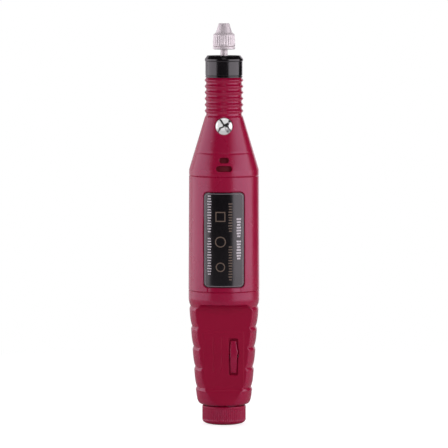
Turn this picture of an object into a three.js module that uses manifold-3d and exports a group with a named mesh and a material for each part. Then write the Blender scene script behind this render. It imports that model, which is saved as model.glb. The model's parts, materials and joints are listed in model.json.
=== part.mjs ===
// Electric nail drill: a pen-shaped grinder with a three-jaw chuck, a spindle lock button,
// a direction rocker and a speed dial round the power socket.
// Millimetres. +Z runs along the pen from the tail knob's end face (z = 0) to the chuck's nose.
// The front, with the controls, faces -Y.

import * as THREE from 'three'
import { mergeVertices } from 'three/addons/utils/BufferGeometryUtils.js'
import Module from 'manifold-3d'

const wasm = await Module()
wasm.setup()

// ---------------------------------------------------------------- driving dimensions

const TOTAL_LENGTH = 170
const ROUND = 28 // sides of the housing's turned pieces
const SMALL_ROUND = 16 // sides of small turned pieces
const FIT_GAP = 0.03 // between pieces that are fixed to each other
const RUNNING_GAP = 0.05 // radial, between pieces that turn or slide on each other

// stations up the pen
const KNOB_TOP = 7.9
const GRIP_BOTTOM = 8.5
const GRIP_TOP = 57
const BARREL_TOP = 105.7
const SHOULDER = 108.2
const CONE_TOP = 130.4
const NECK_TOP = 147.1
const CAP_TOP = 156.4
const SHOULDER_BEND = 110.6
const CHUCK_BOTTOM = 159
const SLEEVE_BOTTOM = 160.1
const NOSE_BASE = 165.6

// radii of the housing
const BARREL_BOTTOM_R = 15.04
const BARREL_TOP_R = 14.77
const BARREL_BORE_R = 13.05
const SHOULDER_R = 14.72
const SHOULDER_BEND_R = 14.07
const CONE_TOP_R = 8.1
const NECK_GROOVE_R = 7.5
const NECK_CREST_R = 8.15
const NECK_BORE_R = 6.05
const WALL = 1.7
const CAP_WALL_R = 7.85
const CAP_FLANGE_R = 8.1
const CAP_FACE_R = 7.05
const CAP_HOLE_R = 2.3
const CAP_SPIGOT_LENGTH = 3.1
const SEAL_R = 4.4
const SPIGOT_R = 12.1 // the barrel's spigot in the grip
const SPIGOT_BOTTOM = 53.5
const SPIGOT_BORE_R = 10.8
const HOUSING_SPIGOT_BORE_R = 11.6

// neck ribs
const RIB_COUNT = 6
const RIB_PITCH = 2.6
const FIRST_RIB_Z = 133

// grip scallops: a notch line that narrows towards the tail, with a crest below each notch
const NOTCH_COUNT = 5
const NOTCH_PITCH = 8.6
const TOP_NOTCH_Z = 50.2
const NOTCH_LINE_R = 11.47 // at the lowest notch
const NOTCH_LINE_SLOPE = 0.0776
const CREST_HEIGHT = 0.55

// thumb recess: a flat cut across the grip's front, with a rounded end wall at its top
const RECESS_Y = -8.2
const RECESS_TOP = 51.7
const RECESS_FILLET = 4
const RECESS_WALL = 1.6
const RECESS_FOOT = [[-8.2, 16.5], [-8.6, 15.4], [-9.3, 14.4], [-9.85, 12.7], [-10.15, 11], [-10.5, 9]]
const FOOT_WALL_Y = -8.15 // inner face of the wall in front of the dial's hub

// spindle and its bearings (3 x 10 x 4 mm ball bearings)
const SPINDLE_R = 1.5
const SPINDLE_BOTTOM = 106.4
const SPINDLE_TOP = 161.6
const BEARING_R = 5
const BEARING_WIDTH = 4
const FRONT_BEARING_Z = 149
const REAR_BEARING_Z = 114.1

// motor, 24.4 mm round can
const CAN_R = 12.2
const CAN_WALL = 0.9
const CAN_BOTTOM = 62
const CAN_TOP = 94
const MOTOR_SHAFT_R = 1
const MOTOR_SHAFT_BOTTOM = 59.5
const MOTOR_SHAFT_TOP = 105.4
const MOUNT_BOTTOM = 96.25
const MOUNT_TOP = 98.2
const MOTOR_SCREW_X = 8
const MOTOR_SCREW_R = 0.95
const MOTOR_BOSS_R = 3.2
const BUSHING_R = 1.9
const MAGNET_R = 11.2
const MAGNET_BORE_R = 9.4
const MAGNET_BOTTOM = 68
const MAGNET_TOP = 90
const END_CAP_BOTTOM = 60.2
const END_CAP_TOP = 65
const ARMATURE_R = 8.9
const ARMATURE_BOTTOM = 71
const ARMATURE_TOP = 87
const WINDING_R = 6.5
const WINDING_HEIGHT = 2.5
const COMMUTATOR_R = 2
const COMMUTATOR_BOTTOM = 65.6
const COMMUTATOR_TOP = 69.4
const BRUSH_BOTTOM = 66.6
const BRUSH_TOP = 68.4
const BRUSH_HALF_WIDTH = 0.8

// coupling between the motor's shaft and the spindle
const COUPLING_R = 3.3
const COUPLING_BOTTOM = 101
const COUPLING_TOP = 112
const COUPLING_CHAMFER = 0.4

// chuck
const SKIRT_R = 4.8
const SKIRT_TOP_R = 4.55
const SKIRT_FLUTES = 16
const SKIRT_FLUTE_DEPTH = 0.2
const NOSE_LEDGE_R = 4.05
const NOSE_BASE_R = 3.45
const NOSE_TIP_R = 2.2
const SLEEVE_MOUTH_R = 1.9
const SLEEVE_MOUTH_Z = 169.2
const SLEEVE_CONE_SLOPE = 0.325 // radius gained per mm down the jaws' cone
const SLEEVE_BORE_R = 3.85
const CHUCK_CORE_TOP = 167.9
const BIT_BORE_R = 1.3
const JAW_COUNT = 3
const JAW_WIDTH = 1.1
const JAW_CLOSED_TOP = 169.9
const JAW_LENGTH = 3.8
const JAW_CLOSED_R = 0.25
const JAW_OPENING = 0.95 // radial travel from closed to open

// lock button in the cone's front
const LOCK_Z = 126.8
const LOCK_BUTTON_R = 3.5
const LOCK_FACE_Y = -10.5
const LOCK_DOME = 1.15
const LOCK_SKIRT_BACK_Y = -9
const LOCK_SEAT_Y = -7.2
const LOCK_GUIDE_BACK_Y = -5.7
const LOCK_PIN_R = 1
const LOCK_PIN_TIP_Y = -4
const LOCK_DISC_R = 3.6
const LOCK_DISC_HEIGHT = 4
const LOCK_NOTCH_R = 1.2
const LOCK_NOTCH_BOTTOM_R = 2.3

// slot with the direction rocker
const SLOT_X = 4.03
const SLOT_Z = 29.2
const SLOT_WIDTH = 3.75
const SLOT_HEIGHT = 15.6
const ROCKER_WIDTH = 2.8
const ROCKER_HALF_HEIGHT = 6.7
const ROCKER_PIVOT_Y = -5.9
const ROCKER_PIN_R = 0.7
const LEVER_WIDTH = 1.4
const ROCKER_PIN_ENDS = [0.95, 7.5]
const CHEEKS = [[0.5, 1.8], [6.4, 8]] // the pin's holders: where each starts and ends along X
const CHEEK_HALF_HEIGHT = 1.7

// speed dial and power socket at the tail
const KNOB_R = 9.25
const KNOB_MOUTH_R = 4.8
const KNOB_HUB_R = 6.9
const KNOB_FLUTES = 24
const KNOB_FLUTE_DEPTH = 0.3
const KNURL_BOTTOM = 2.1
const KNURL_TOP = 7.1
const SOCKET_R = 3.9
const SOCKET_BORE_R = 1.8
const ROTOR_BOTTOM = 12.6
const POT_BOTTOM = 14.2
const POT_TOP = 17.4
const POT_R = 9.55
const POT_FLAT_Y = -6.5
const ROTOR_R = 7.9

// circuit board, in the XZ plane behind the rocker
const BOARD_FRONT_Y = 1
const BOARD_BACK_Y = 2.6
const BOARD_HALF_WIDTH = 8.3
const BOARD_BOTTOM = 22.5
const BOARD_TOP = 43.5
const LEDGE_BOTTOM = 25
const LEDGE_TOP = 41
const TRANSISTOR_HALF_WIDTH = 4.5
const CAPACITOR_R = 2.9
const CAPACITOR_X = -4.4
const WIRE_R = 0.55

// grip screws, driven from the back
const UPPER_SCREW = { x: 0, z: 46.4, headY: 11.6, headR: 2.1, bossR: 2.3 }
const LOWER_SCREW = { x: -6, z: 19.9, headY: 8.5, headR: 1.8, bossR: 1.9 }
const SCREW_R = 0.95
const SCREW_PILOT_R = 1
const SCREW_HOLE_R = 1.25
const SCREW_HEAD_HEIGHT = 1.4

// vent slots below the button
const VENTS = [
  { z: 112.6, width: 4.1, height: 2.3 },
  { z: 109.1, width: 6.7, height: 2.4 },
]

// rating plate
const BADGE_WIDTH = 17.4
const BADGE_BOTTOM = 58.8
const BADGE_TOP = 99.5
const BADGE_CORNER_R = 2.3
const BADGE_RECESS = 0.55

const FAR = 40 // further from the axis than any cut has to reach

// ---------------------------------------------------------------- materials

const MATERIALS = {
  crimson: { color: 0x9c1236, roughness: 0.32, metalness: 0 },
  crimsonGrip: { color: 0x8e1032, roughness: 0.4, metalness: 0 },
  blackGloss: { color: 0x151315, roughness: 0.15, metalness: 0 },
  blackMatte: { color: 0x222224, roughness: 0.7, metalness: 0 },
  greyFelt: { color: 0x4a4846, roughness: 0.95, metalness: 0 },
  chrome: { color: 0xd8d8da, roughness: 0.06, metalness: 1 },
  satinSteel: { color: 0xc9c6c4, roughness: 0.28, metalness: 1 },
  darkSteel: { color: 0x77787a, roughness: 0.4, metalness: 1 },
  magnet: { color: 0x3a3a3c, roughness: 0.6, metalness: 0.2 },
  copper: { color: 0xb8622c, roughness: 0.35, metalness: 1 },
  brass: { color: 0xc9a24a, roughness: 0.3, metalness: 1 },
  boardGreen: { color: 0x1d5a36, roughness: 0.5, metalness: 0 },
  whitePlastic: { color: 0xe4e1da, roughness: 0.45, metalness: 0 },
  redWire: { color: 0xb01818, roughness: 0.5, metalness: 0 },
  blackWire: { color: 0x18181a, roughness: 0.5, metalness: 0 },
}

const group = new THREE.Group()
group.name = 'electric_nail_drill'

// ---------------------------------------------------------------- solid helpers

// A closed solid from a three.js geometry, whichever way its faces were wound.
function solid(geometry) {
  geometry.deleteAttribute('normal')
  geometry.deleteAttribute('uv')
  const merged = mergeVertices(geometry, 1e-4)
  const index = merged.index.array
  const triangles = []
  for (let i = 0; i < index.length; i += 3) {
    const [a, b, c] = [index[i], index[i + 1], index[i + 2]]
    if (a !== b && b !== c && c !== a) triangles.push(a, b, c)
  }
  const build = (triVerts) => new wasm.Manifold(new wasm.Mesh({
    numProp: 3,
    vertProperties: new Float32Array(merged.attributes.position.array),
    triVerts: new Uint32Array(triVerts),
  }))
  const body = build(triangles)
  if (body.volume() > 0) return body
  return build(triangles.reverse())
}

// A solid of revolution about Z. The profile is a list of [radius, z] that either
// starts and ends on the axis or closes on itself.
function turned(profile, sides = SMALL_ROUND) {
  const points = profile.map(([radius, z]) => new THREE.Vector2(radius, z))
  if (profile[0][0] > 0) points.push(points[0].clone())
  return solid(new THREE.LatheGeometry(points, sides).rotateX(Math.PI / 2))
}

function disc(radius, bottom, top, sides = SMALL_ROUND) {
  return turned([[0, bottom], [radius, bottom], [radius, top], [0, top]], sides)
}

function ring(innerR, outerR, bottom, top, sides = SMALL_ROUND) {
  return turned([[innerR, bottom], [outerR, bottom], [outerR, top], [innerR, top]], sides)
}

// A flat outline in (x, y) raised along Z.
function raised(outline, bottom, top, curveSegments = 6) {
  const geometry = new THREE.ExtrudeGeometry(outline, {
    depth: top - bottom,
    bevelEnabled: false,
    curveSegments,
  })
  return solid(geometry.translate(0, 0, bottom))
}

// A front-view outline in (x, z), carried along Y from one station to another.
function throughY(outline, fromY, toY, curveSegments = 6) {
  const geometry = new THREE.ExtrudeGeometry(outline, {
    depth: toY - fromY,
    bevelEnabled: false,
    curveSegments,
  })
  return solid(geometry.rotateX(Math.PI / 2).translate(0, toY, 0))
}

// A side-view outline in (y, z), carried along X from one station to another.
function throughX(outline, fromX, toX, curveSegments = 6) {
  const geometry = new THREE.ExtrudeGeometry(outline, {
    depth: toX - fromX,
    bevelEnabled: false,
    curveSegments,
  })
  return solid(geometry.rotateX(Math.PI / 2).rotateZ(Math.PI / 2).translate(fromX, 0, 0))
}

function block(fromX, toX, fromY, toY, fromZ, toZ) {
  const geometry = new THREE.BoxGeometry(toX - fromX, toY - fromY, toZ - fromZ)
  return solid(geometry.translate((fromX + toX) / 2, (fromY + toY) / 2, (fromZ + toZ) / 2))
}

function rodAlongY(radius, fromY, toY, x, z, sides = SMALL_ROUND) {
  const geometry = new THREE.CylinderGeometry(radius, radius, toY - fromY, sides)
  return solid(geometry.translate(x, (fromY + toY) / 2, z))
}

function rodAlongX(radius, fromX, toX, y, z, sides = SMALL_ROUND) {
  const geometry = new THREE.CylinderGeometry(radius, radius, toX - fromX, sides)
  return solid(geometry.rotateZ(Math.PI / 2).translate((fromX + toX) / 2, y, z))
}

function roundedRectangle(left, right, bottom, top, radius) {
  const shape = new THREE.Shape()
  shape.moveTo(left + radius, bottom)
  shape.lineTo(right - radius, bottom)
  shape.absarc(right - radius, bottom + radius, radius, -Math.PI / 2, 0)
  shape.lineTo(right, top - radius)
  shape.absarc(right - radius, top - radius, radius, 0, Math.PI / 2)
  shape.lineTo(left + radius, top)
  shape.absarc(left + radius, top - radius, radius, Math.PI / 2, Math.PI)
  shape.lineTo(left, bottom + radius)
  shape.absarc(left + radius, bottom + radius, radius, Math.PI, 1.5 * Math.PI)
  return shape
}

function polygon(points) {
  return new THREE.Shape(points.map(([x, y]) => new THREE.Vector2(x, y)))
}

// A round bar that follows a path.
function tube(path, radius, steps, sides = 8) {
  const section = new THREE.Shape()
  section.absarc(0, 0, radius, 0, 2 * Math.PI)
  return solid(new THREE.ExtrudeGeometry(section, {
    steps,
    curveSegments: sides / 2,
    bevelEnabled: false,
    extrudePath: path,
  }))
}

// A disc edge with round-bottomed flutes cut round it.
function flutedOutline(radius, depth, count) {
  const points = []
  for (let i = 0; i < count; i += 1) {
    for (const [share, cut] of [[0, 0], [0.5, 0], [0.75, depth]]) {
      const angle = (2 * Math.PI * (i + share - 0.25)) / count
      points.push([(radius - cut) * Math.cos(angle), (radius - cut) * Math.sin(angle)])
    }
  }
  return polygon(points)
}

function add(name, body, look) {
  const { numProp, vertProperties, triVerts } = body.getMesh()
  const positions = new Float32Array(triVerts.length * 3)
  triVerts.forEach((vertex, i) => {
    for (let axis = 0; axis < 3; axis += 1) {
      positions[3 * i + axis] = vertProperties[numProp * vertex + axis]
    }
  })
  const geometry = new THREE.BufferGeometry()
  geometry.setAttribute('position', new THREE.BufferAttribute(positions, 3))
  geometry.computeVertexNormals()
  const mesh = new THREE.Mesh(geometry, new THREE.MeshStandardMaterial(MATERIALS[look]))
  mesh.name = name
  group.add(mesh)
}

// ---------------------------------------------------------------- nose cap, bearings and seal

function noseCap() {
  const seatTop = FRONT_BEARING_Z + BEARING_WIDTH + 0.1
  return turned([
    [BEARING_R + FIT_GAP, NECK_TOP - CAP_SPIGOT_LENGTH],
    [NECK_BORE_R - FIT_GAP, NECK_TOP - CAP_SPIGOT_LENGTH],
    [NECK_BORE_R - FIT_GAP, NECK_TOP],
    [CAP_WALL_R, NECK_TOP],
    [CAP_WALL_R, CAP_TOP - 2.5],
    [CAP_FLANGE_R, CAP_TOP - 2.2],
    [CAP_FLANGE_R, CAP_TOP - 1.5],
    [CAP_FACE_R, CAP_TOP],
    [CAP_HOLE_R, CAP_TOP],
    [CAP_HOLE_R, CAP_TOP - 1.5],
    [SEAL_R + 0.1, CAP_TOP - 1.5],
    [SEAL_R + 0.1, seatTop],
    [BEARING_R + FIT_GAP, seatTop],
  ], ROUND)
}

function bearing(bottom) {
  return ring(SPINDLE_R + RUNNING_GAP, BEARING_R, bottom, bottom + BEARING_WIDTH)
}

function bearingRetainer() {
  const top = FRONT_BEARING_Z - 0.1
  return ring(3.6, BEARING_R, top - 1, top)
}

function dustSeal() {
  const top = CAP_TOP - 1.6
  return ring(SPINDLE_R + RUNNING_GAP, SEAL_R, top - 1.6, top)
}

add('nose_cap', noseCap(), 'blackGloss')
add('front_bearing', bearing(FRONT_BEARING_Z), 'satinSteel')
add('rear_bearing', bearing(REAR_BEARING_Z), 'satinSteel')
add('bearing_retainer', bearingRetainer(), 'darkSteel')
add('dust_seal', dustSeal(), 'greyFelt')

// ---------------------------------------------------------------- front housing

function coneRadius(z) {
  const share = (CONE_TOP - z) / (CONE_TOP - SHOULDER_BEND)
  return CONE_TOP_R + share * (SHOULDER_BEND_R - CONE_TOP_R)
}

function neckRibs() {
  const points = []
  for (let i = 0; i < RIB_COUNT; i += 1) {
    const z = FIRST_RIB_Z + i * RIB_PITCH
    points.push([NECK_GROOVE_R, z - RIB_PITCH / 2])
    points.push([NECK_CREST_R, z - 0.5])
    points.push([NECK_CREST_R, z + 0.5])
  }
  return points
}

function frontHousing() {
  const webBottom = REAR_BEARING_Z - 0.2
  const webTop = REAR_BEARING_Z + BEARING_WIDTH + 1.1
  const seatTop = REAR_BEARING_Z + BEARING_WIDTH + 0.1
  let body = turned([
    [BARREL_BORE_R - FIT_GAP, MOUNT_TOP + 0.1],
    [BARREL_BORE_R - FIT_GAP, BARREL_TOP],
    [BARREL_TOP_R, BARREL_TOP],
    [SHOULDER_R, SHOULDER],
    [SHOULDER_BEND_R, SHOULDER_BEND],
    [CONE_TOP_R, CONE_TOP],
    [7.7, 131],
    ...neckRibs(),
    [NECK_GROOVE_R + 0.1, NECK_TOP],
    [NECK_BORE_R, NECK_TOP],
    [NECK_BORE_R, CONE_TOP + 1],
    [coneRadius(webTop) - WALL, webTop],
    [3.5, webTop],
    [3.5, seatTop],
    [BEARING_R + FIT_GAP, seatTop],
    [BEARING_R + FIT_GAP, webBottom],
    [coneRadius(webBottom) - WALL, webBottom],
    [SHOULDER_BEND_R - 1.3, SHOULDER_BEND - 1],
    [SHOULDER_R - 1.8, BARREL_TOP + 1.5],
    [HOUSING_SPIGOT_BORE_R, BARREL_TOP],
    [HOUSING_SPIGOT_BORE_R, MOUNT_TOP + 0.1],
  ], ROUND)

  // guide for the lock pin, on the inside of the cone
  const guide = rodAlongY(LOCK_BUTTON_R + 0.8, -8.5, LOCK_GUIDE_BACK_Y, 0, LOCK_Z)
  body = body.add(guide)
  const boreSides = 2 * SMALL_ROUND // enough for its flats to clear the round button
  const buttonBore = rodAlongY(LOCK_BUTTON_R + RUNNING_GAP, -FAR, LOCK_SEAT_Y, 0, LOCK_Z, boreSides)
  body = body.subtract(buttonBore)
  body = body.subtract(rodAlongY(LOCK_PIN_R + RUNNING_GAP, -FAR, LOCK_GUIDE_BACK_Y + 1, 0, LOCK_Z))

  for (const { z, width, height } of VENTS) {
    const corner = height / 2.05
    const outline = roundedRectangle(-width / 2, width / 2, z - height / 2, z + height / 2, corner)
    body = body.subtract(throughY(outline, -FAR, -8, 3))
  }
  return body
}

add('front_housing', frontHousing(), 'crimson')

// ---------------------------------------------------------------- middle barrel and rating plate

function barrelRadius(z) {
  const share = (z - GRIP_TOP) / (BARREL_TOP - GRIP_TOP)
  return BARREL_BOTTOM_R + share * (BARREL_TOP_R - BARREL_BOTTOM_R)
}

// The barrel's outer cone, sunk by a depth.
function barrelCore(depth) {
  return turned([
    [0, GRIP_TOP],
    [BARREL_BOTTOM_R - depth, GRIP_TOP],
    [BARREL_TOP_R - depth, BARREL_TOP],
    [0, BARREL_TOP],
  ], ROUND)
}

function badgeOutline(inset) {
  const halfWidth = BADGE_WIDTH / 2 - inset
  return throughY(roundedRectangle(
    -halfWidth,
    halfWidth,
    BADGE_BOTTOM + inset,
    BADGE_TOP - inset,
    BADGE_CORNER_R - inset,
  ), -FAR, 0, 2)
}

function middleBarrel() {
  const body = turned([
    [SPIGOT_BORE_R, SPIGOT_BOTTOM],
    [SPIGOT_R, SPIGOT_BOTTOM],
    [SPIGOT_R, GRIP_TOP],
    [BARREL_BOTTOM_R - 0.2, GRIP_TOP],
    [barrelRadius(GRIP_TOP + 0.2), GRIP_TOP + 0.2],
    [barrelRadius(BARREL_TOP - 0.2), BARREL_TOP - 0.2],
    [BARREL_TOP_R - 0.2, BARREL_TOP],
    [BARREL_BORE_R, BARREL_TOP],
    [BARREL_BORE_R, MOUNT_BOTTOM - 0.05],
    [CAN_R + 0.15, MOUNT_BOTTOM - 0.05],
    [CAN_R + 0.15, MOUNT_BOTTOM - 4],
    [CAN_R + 1, MOUNT_BOTTOM - 5],
    [CAN_R + 1, GRIP_TOP + 2.3],
    [SPIGOT_BORE_R, GRIP_TOP + 1.7],
  ], ROUND)
  const recess = badgeOutline(0).subtract(barrelCore(BADGE_RECESS))
  return body.subtract(recess)
}

function badge() {
  const plate = barrelCore(0.12).subtract(barrelCore(BADGE_RECESS - FIT_GAP))
  return plate.intersect(badgeOutline(0.2))
}

add('middle_barrel', middleBarrel(), 'crimson')
add('badge', badge(), 'blackGloss')

// ---------------------------------------------------------------- rear grip

function notchLine(z) {
  const lowestNotchZ = TOP_NOTCH_Z - (NOTCH_COUNT - 1) * NOTCH_PITCH
  return NOTCH_LINE_R + (z - lowestNotchZ) * NOTCH_LINE_SLOPE
}

const SPIGOT_SEAT = SPIGOT_BOTTOM - 0.2
const FLANGE_TOP = GRIP_BOTTOM + 1.9
const BOSS_FLOOR = 12

function gripBore(z) {
  return 9.5 + (z - 12) * 0.075
}

function gripOutline() {
  const points = [[BARREL_BOTTOM_R - 0.3, GRIP_TOP], [BARREL_BOTTOM_R, GRIP_TOP - 0.5], [15, 54.6]]
  for (let i = 0; i < NOTCH_COUNT; i += 1) {
    const z = TOP_NOTCH_Z - i * NOTCH_PITCH
    points.push([notchLine(z), z])
    points.push([notchLine(z - 1.4) + CREST_HEIGHT, z - 1.4])
    if (i < NOTCH_COUNT - 1) {
      points.push([notchLine(z - 4) + CREST_HEIGHT + 0.05, z - 4])
      points.push([notchLine(z - 6.4) + CREST_HEIGHT - 0.1, z - 6.4])
    }
  }
  points.push([11.4, 10.6], [10.6, 9.2], [9.8, GRIP_BOTTOM])
  return points
}

function gripTube() {
  return turned([
    ...gripOutline(),
    [KNOB_HUB_R + 0.3, GRIP_BOTTOM],
    [KNOB_HUB_R + 0.3, FLANGE_TOP],
    [gripBore(FLANGE_TOP), FLANGE_TOP],
    [gripBore(SPIGOT_SEAT), SPIGOT_SEAT],
    [SPIGOT_R + FIT_GAP, SPIGOT_SEAT],
    [SPIGOT_R + FIT_GAP, GRIP_TOP],
  ], ROUND)
}

// The recess is open at its foot, where its floor runs out of the grip's rounded end.
function thumbRecess() {
  const outline = new THREE.Shape()
  outline.moveTo(-FAR, RECESS_TOP)
  outline.lineTo(RECESS_Y - RECESS_FILLET, RECESS_TOP)
  const centre = [RECESS_Y - RECESS_FILLET, RECESS_TOP - RECESS_FILLET]
  outline.absarc(...centre, RECESS_FILLET, Math.PI / 2, 0, true)
  for (const [y, z] of RECESS_FOOT) {
    outline.lineTo(y, z)
  }
  outline.lineTo(-FAR, RECESS_FOOT.at(-1)[1])
  return throughX(outline, -16, 16, 6)
}

// The wall behind the recess, which closes the grip's bore.
function recessWall() {
  const wallY = RECESS_Y + RECESS_WALL
  const stepZ = POT_BOTTOM - 0.1
  const outline = polygon([
    [-FAR, FLANGE_TOP - 0.5],
    [FOOT_WALL_Y, FLANGE_TOP - 0.5],
    [FOOT_WALL_Y, stepZ],
    [wallY, stepZ],
    [wallY, SPIGOT_SEAT],
    [-FAR, SPIGOT_SEAT],
  ])
  return throughX(outline, -16, 16, 2).intersect(gripCore(FLANGE_TOP - 0.5))
}

function gripFrontShell() {
  let body = gripTube().add(recessWall())

  // cheeks that hold the rocker's pin
  const fromY = RECESS_Y + RECESS_WALL - 0.1
  const toY = ROCKER_PIVOT_Y + 1.5
  for (const [fromX, toX] of CHEEKS) {
    const [bottom, top] = [SLOT_Z - CHEEK_HALF_HEIGHT, SLOT_Z + CHEEK_HALF_HEIGHT]
    body = body.add(block(fromX, toX, fromY, toY, bottom, top))
  }
  const [pinLeft, pinRight] = [ROCKER_PIN_ENDS[0] - 0.05, ROCKER_PIN_ENDS[1] + 0.1]
  const pinHole = rodAlongX(ROCKER_PIN_R + FIT_GAP, pinLeft, pinRight, ROCKER_PIVOT_Y, SLOT_Z, 12)
  body = body.subtract(pinHole)

  for (const { x, z, bossR } of [UPPER_SCREW, LOWER_SCREW]) {
    const boss = rodAlongY(bossR, -FAR, -0.1, x, z, 16).intersect(gripCore(BOSS_FLOOR))
    body = body.add(boss)
    body = body.subtract(rodAlongY(SCREW_PILOT_R, -6, FAR, x, z, 12))
  }

  const slot = roundedRectangle(
    SLOT_X - SLOT_WIDTH / 2,
    SLOT_X + SLOT_WIDTH / 2,
    SLOT_Z - SLOT_HEIGHT / 2,
    SLOT_Z + SLOT_HEIGHT / 2,
    SLOT_WIDTH / 2.05,
  )
  body = body.subtract(throughY(slot, -FAR, RECESS_Y + RECESS_WALL + 0.1, 3))
  body = body.subtract(thumbRecess())
  return body.subtract(block(-FAR, FAR, -FIT_GAP, FAR, 0, GRIP_TOP + 3))
}

// Everything within the grip's wall, used to trim bosses and ledges to it.
function gripCore(bottom) {
  return turned([
    [0, bottom],
    [gripBore(bottom) + 0.5, bottom],
    [gripBore(SPIGOT_SEAT) + 0.5, SPIGOT_SEAT],
    [0, SPIGOT_SEAT],
  ], ROUND)
}

function gripBackShell() {
  let body = gripTube()
  for (const { x, z, headY, headR, bossR } of [UPPER_SCREW, LOWER_SCREW]) {
    const boss = rodAlongY(bossR + 0.5, 0.1, FAR, x, z, 16).intersect(gripCore(BOSS_FLOOR))
    body = body.add(boss)
    body = body.subtract(rodAlongY(SCREW_HOLE_R, -1, FAR, x, z, 12))
    body = body.subtract(rodAlongY(headR + 0.15, headY - 0.05, FAR, x, z, 16))
  }
  // ledges that carry the circuit board
  for (const side of [-1, 1]) {
    const x = side * (BOARD_HALF_WIDTH - 1.1)
    const ledge = block(x - 0.7, x + 0.7, BOARD_BACK_Y + 0.05, FAR, LEDGE_BOTTOM, LEDGE_TOP)
    body = body.add(ledge.intersect(gripCore(BOSS_FLOOR)))
  }
  return body.subtract(block(-FAR, FAR, -FAR, FIT_GAP, 0, GRIP_TOP + 3))
}

function gripScrew({ x, headY, headR, z }) {
  const head = rodAlongY(headR, headY, headY + SCREW_HEAD_HEIGHT, x, z, 16)
  const shank = rodAlongY(SCREW_R, -4, headY + 0.5, x, z, 12)
  const cross = block(x - 1.3, x + 1.3, headY + 0.8, FAR, z - 0.3, z + 0.3)
    .add(block(x - 0.3, x + 0.3, headY + 0.8, FAR, z - 1.3, z + 1.3))
  return head.add(shank).subtract(cross)
}

add('grip_front_shell', gripFrontShell(), 'crimsonGrip')
add('grip_back_shell', gripBackShell(), 'crimsonGrip')
add('grip_screw_upper', gripScrew(UPPER_SCREW), 'darkSteel')
add('grip_screw_lower', gripScrew(LOWER_SCREW), 'darkSteel')

// ---------------------------------------------------------------- spindle, lock disc and coupling

function lockDisc() {
  const bottom = LOCK_Z - LOCK_DISC_HEIGHT / 2
  let body = ring(SPINDLE_R + FIT_GAP, LOCK_DISC_R, bottom, bottom + LOCK_DISC_HEIGHT, 24)
  for (let i = 0; i < 4; i += 1) {
    const notch = rodAlongY(LOCK_NOTCH_R, -FAR, -LOCK_NOTCH_BOTTOM_R, 0, LOCK_Z, 12)
    body = body.subtract(notch.rotate([0, 0, 90 * i]))
  }
  return body
}

function coupling() {
  return turned([
    [0, SPINDLE_BOTTOM - 0.7],
    [MOTOR_SHAFT_R + FIT_GAP, SPINDLE_BOTTOM - 0.7],
    [MOTOR_SHAFT_R + FIT_GAP, COUPLING_BOTTOM],
    [COUPLING_R - COUPLING_CHAMFER, COUPLING_BOTTOM],
    [COUPLING_R, COUPLING_BOTTOM + COUPLING_CHAMFER],
    [COUPLING_R, COUPLING_TOP - COUPLING_CHAMFER],
    [COUPLING_R - COUPLING_CHAMFER, COUPLING_TOP],
    [SPINDLE_R + FIT_GAP, COUPLING_TOP],
    [SPINDLE_R + FIT_GAP, SPINDLE_BOTTOM - 0.1],
    [0, SPINDLE_BOTTOM - 0.1],
  ])
}

add('spindle_shaft', disc(SPINDLE_R, SPINDLE_BOTTOM, SPINDLE_TOP), 'satinSteel')
add('lock_disc', lockDisc(), 'darkSteel')
add('coupling', coupling(), 'brass')

// ---------------------------------------------------------------- chuck

// The cone inside the sleeve that drives the jaws inwards.
function jawConeRadius(z) {
  return SLEEVE_MOUTH_R + (SLEEVE_MOUTH_Z - z) * SLEEVE_CONE_SLOPE
}

const SLEEVE_CONE_BOTTOM = SLEEVE_MOUTH_Z - (SLEEVE_BORE_R - SLEEVE_MOUTH_R) / SLEEVE_CONE_SLOPE

function chuckSleeve() {
  const envelope = turned([
    [SLEEVE_BORE_R, SLEEVE_BOTTOM],
    [SKIRT_R - 0.3, SLEEVE_BOTTOM],
    [SKIRT_R, SLEEVE_BOTTOM + 0.3],
    [SKIRT_TOP_R, NOSE_BASE - 0.3],
    [NOSE_LEDGE_R, NOSE_BASE],
    [NOSE_BASE_R, NOSE_BASE + 0.5],
    [NOSE_TIP_R + 0.2, TOTAL_LENGTH - 0.5],
    [NOSE_TIP_R, TOTAL_LENGTH],
    [SLEEVE_MOUTH_R, TOTAL_LENGTH],
    [SLEEVE_MOUTH_R, SLEEVE_MOUTH_Z],
    [SLEEVE_BORE_R, SLEEVE_CONE_BOTTOM],
  ], 24)
  const nose = disc(SKIRT_R + 1, NOSE_BASE - 0.4, TOTAL_LENGTH + 1, 8)
  const outline = flutedOutline(SKIRT_R, SKIRT_FLUTE_DEPTH, SKIRT_FLUTES)
  const skirt = raised(outline, SLEEVE_BOTTOM - 1, NOSE_BASE - 0.3)
  return envelope.intersect(skirt.add(nose))
}

function chuckBody() {
  let body = turned([
    [0, SPINDLE_TOP + FIT_GAP],
    [SPINDLE_R + FIT_GAP, SPINDLE_TOP + FIT_GAP],
    [SPINDLE_R + FIT_GAP, CHUCK_BOTTOM],
    [3.9, CHUCK_BOTTOM],
    [4.3, CHUCK_BOTTOM + 0.3],
    [4.3, SLEEVE_BOTTOM - 0.1],
    [SLEEVE_BORE_R - 0.08, SLEEVE_BOTTOM - 0.1],
    [SLEEVE_BORE_R - 0.08, SLEEVE_CONE_BOTTOM],
    [jawConeRadius(CHUCK_CORE_TOP) - 0.1, CHUCK_CORE_TOP],
    [BIT_BORE_R, CHUCK_CORE_TOP],
    [BIT_BORE_R, SPINDLE_TOP + 0.8],
    [0, SPINDLE_TOP + 0.8],
  ], 24)
  const slotHalf = JAW_WIDTH / 2 + RUNNING_GAP
  for (let i = 0; i < JAW_COUNT; i += 1) {
    const slot = block(0, FAR, -slotHalf, slotHalf, SLEEVE_CONE_BOTTOM - 0.2, TOTAL_LENGTH + 1)
    body = body.subtract(slot.rotate([0, 0, (360 * i) / JAW_COUNT]))
  }
  return body
}

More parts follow.
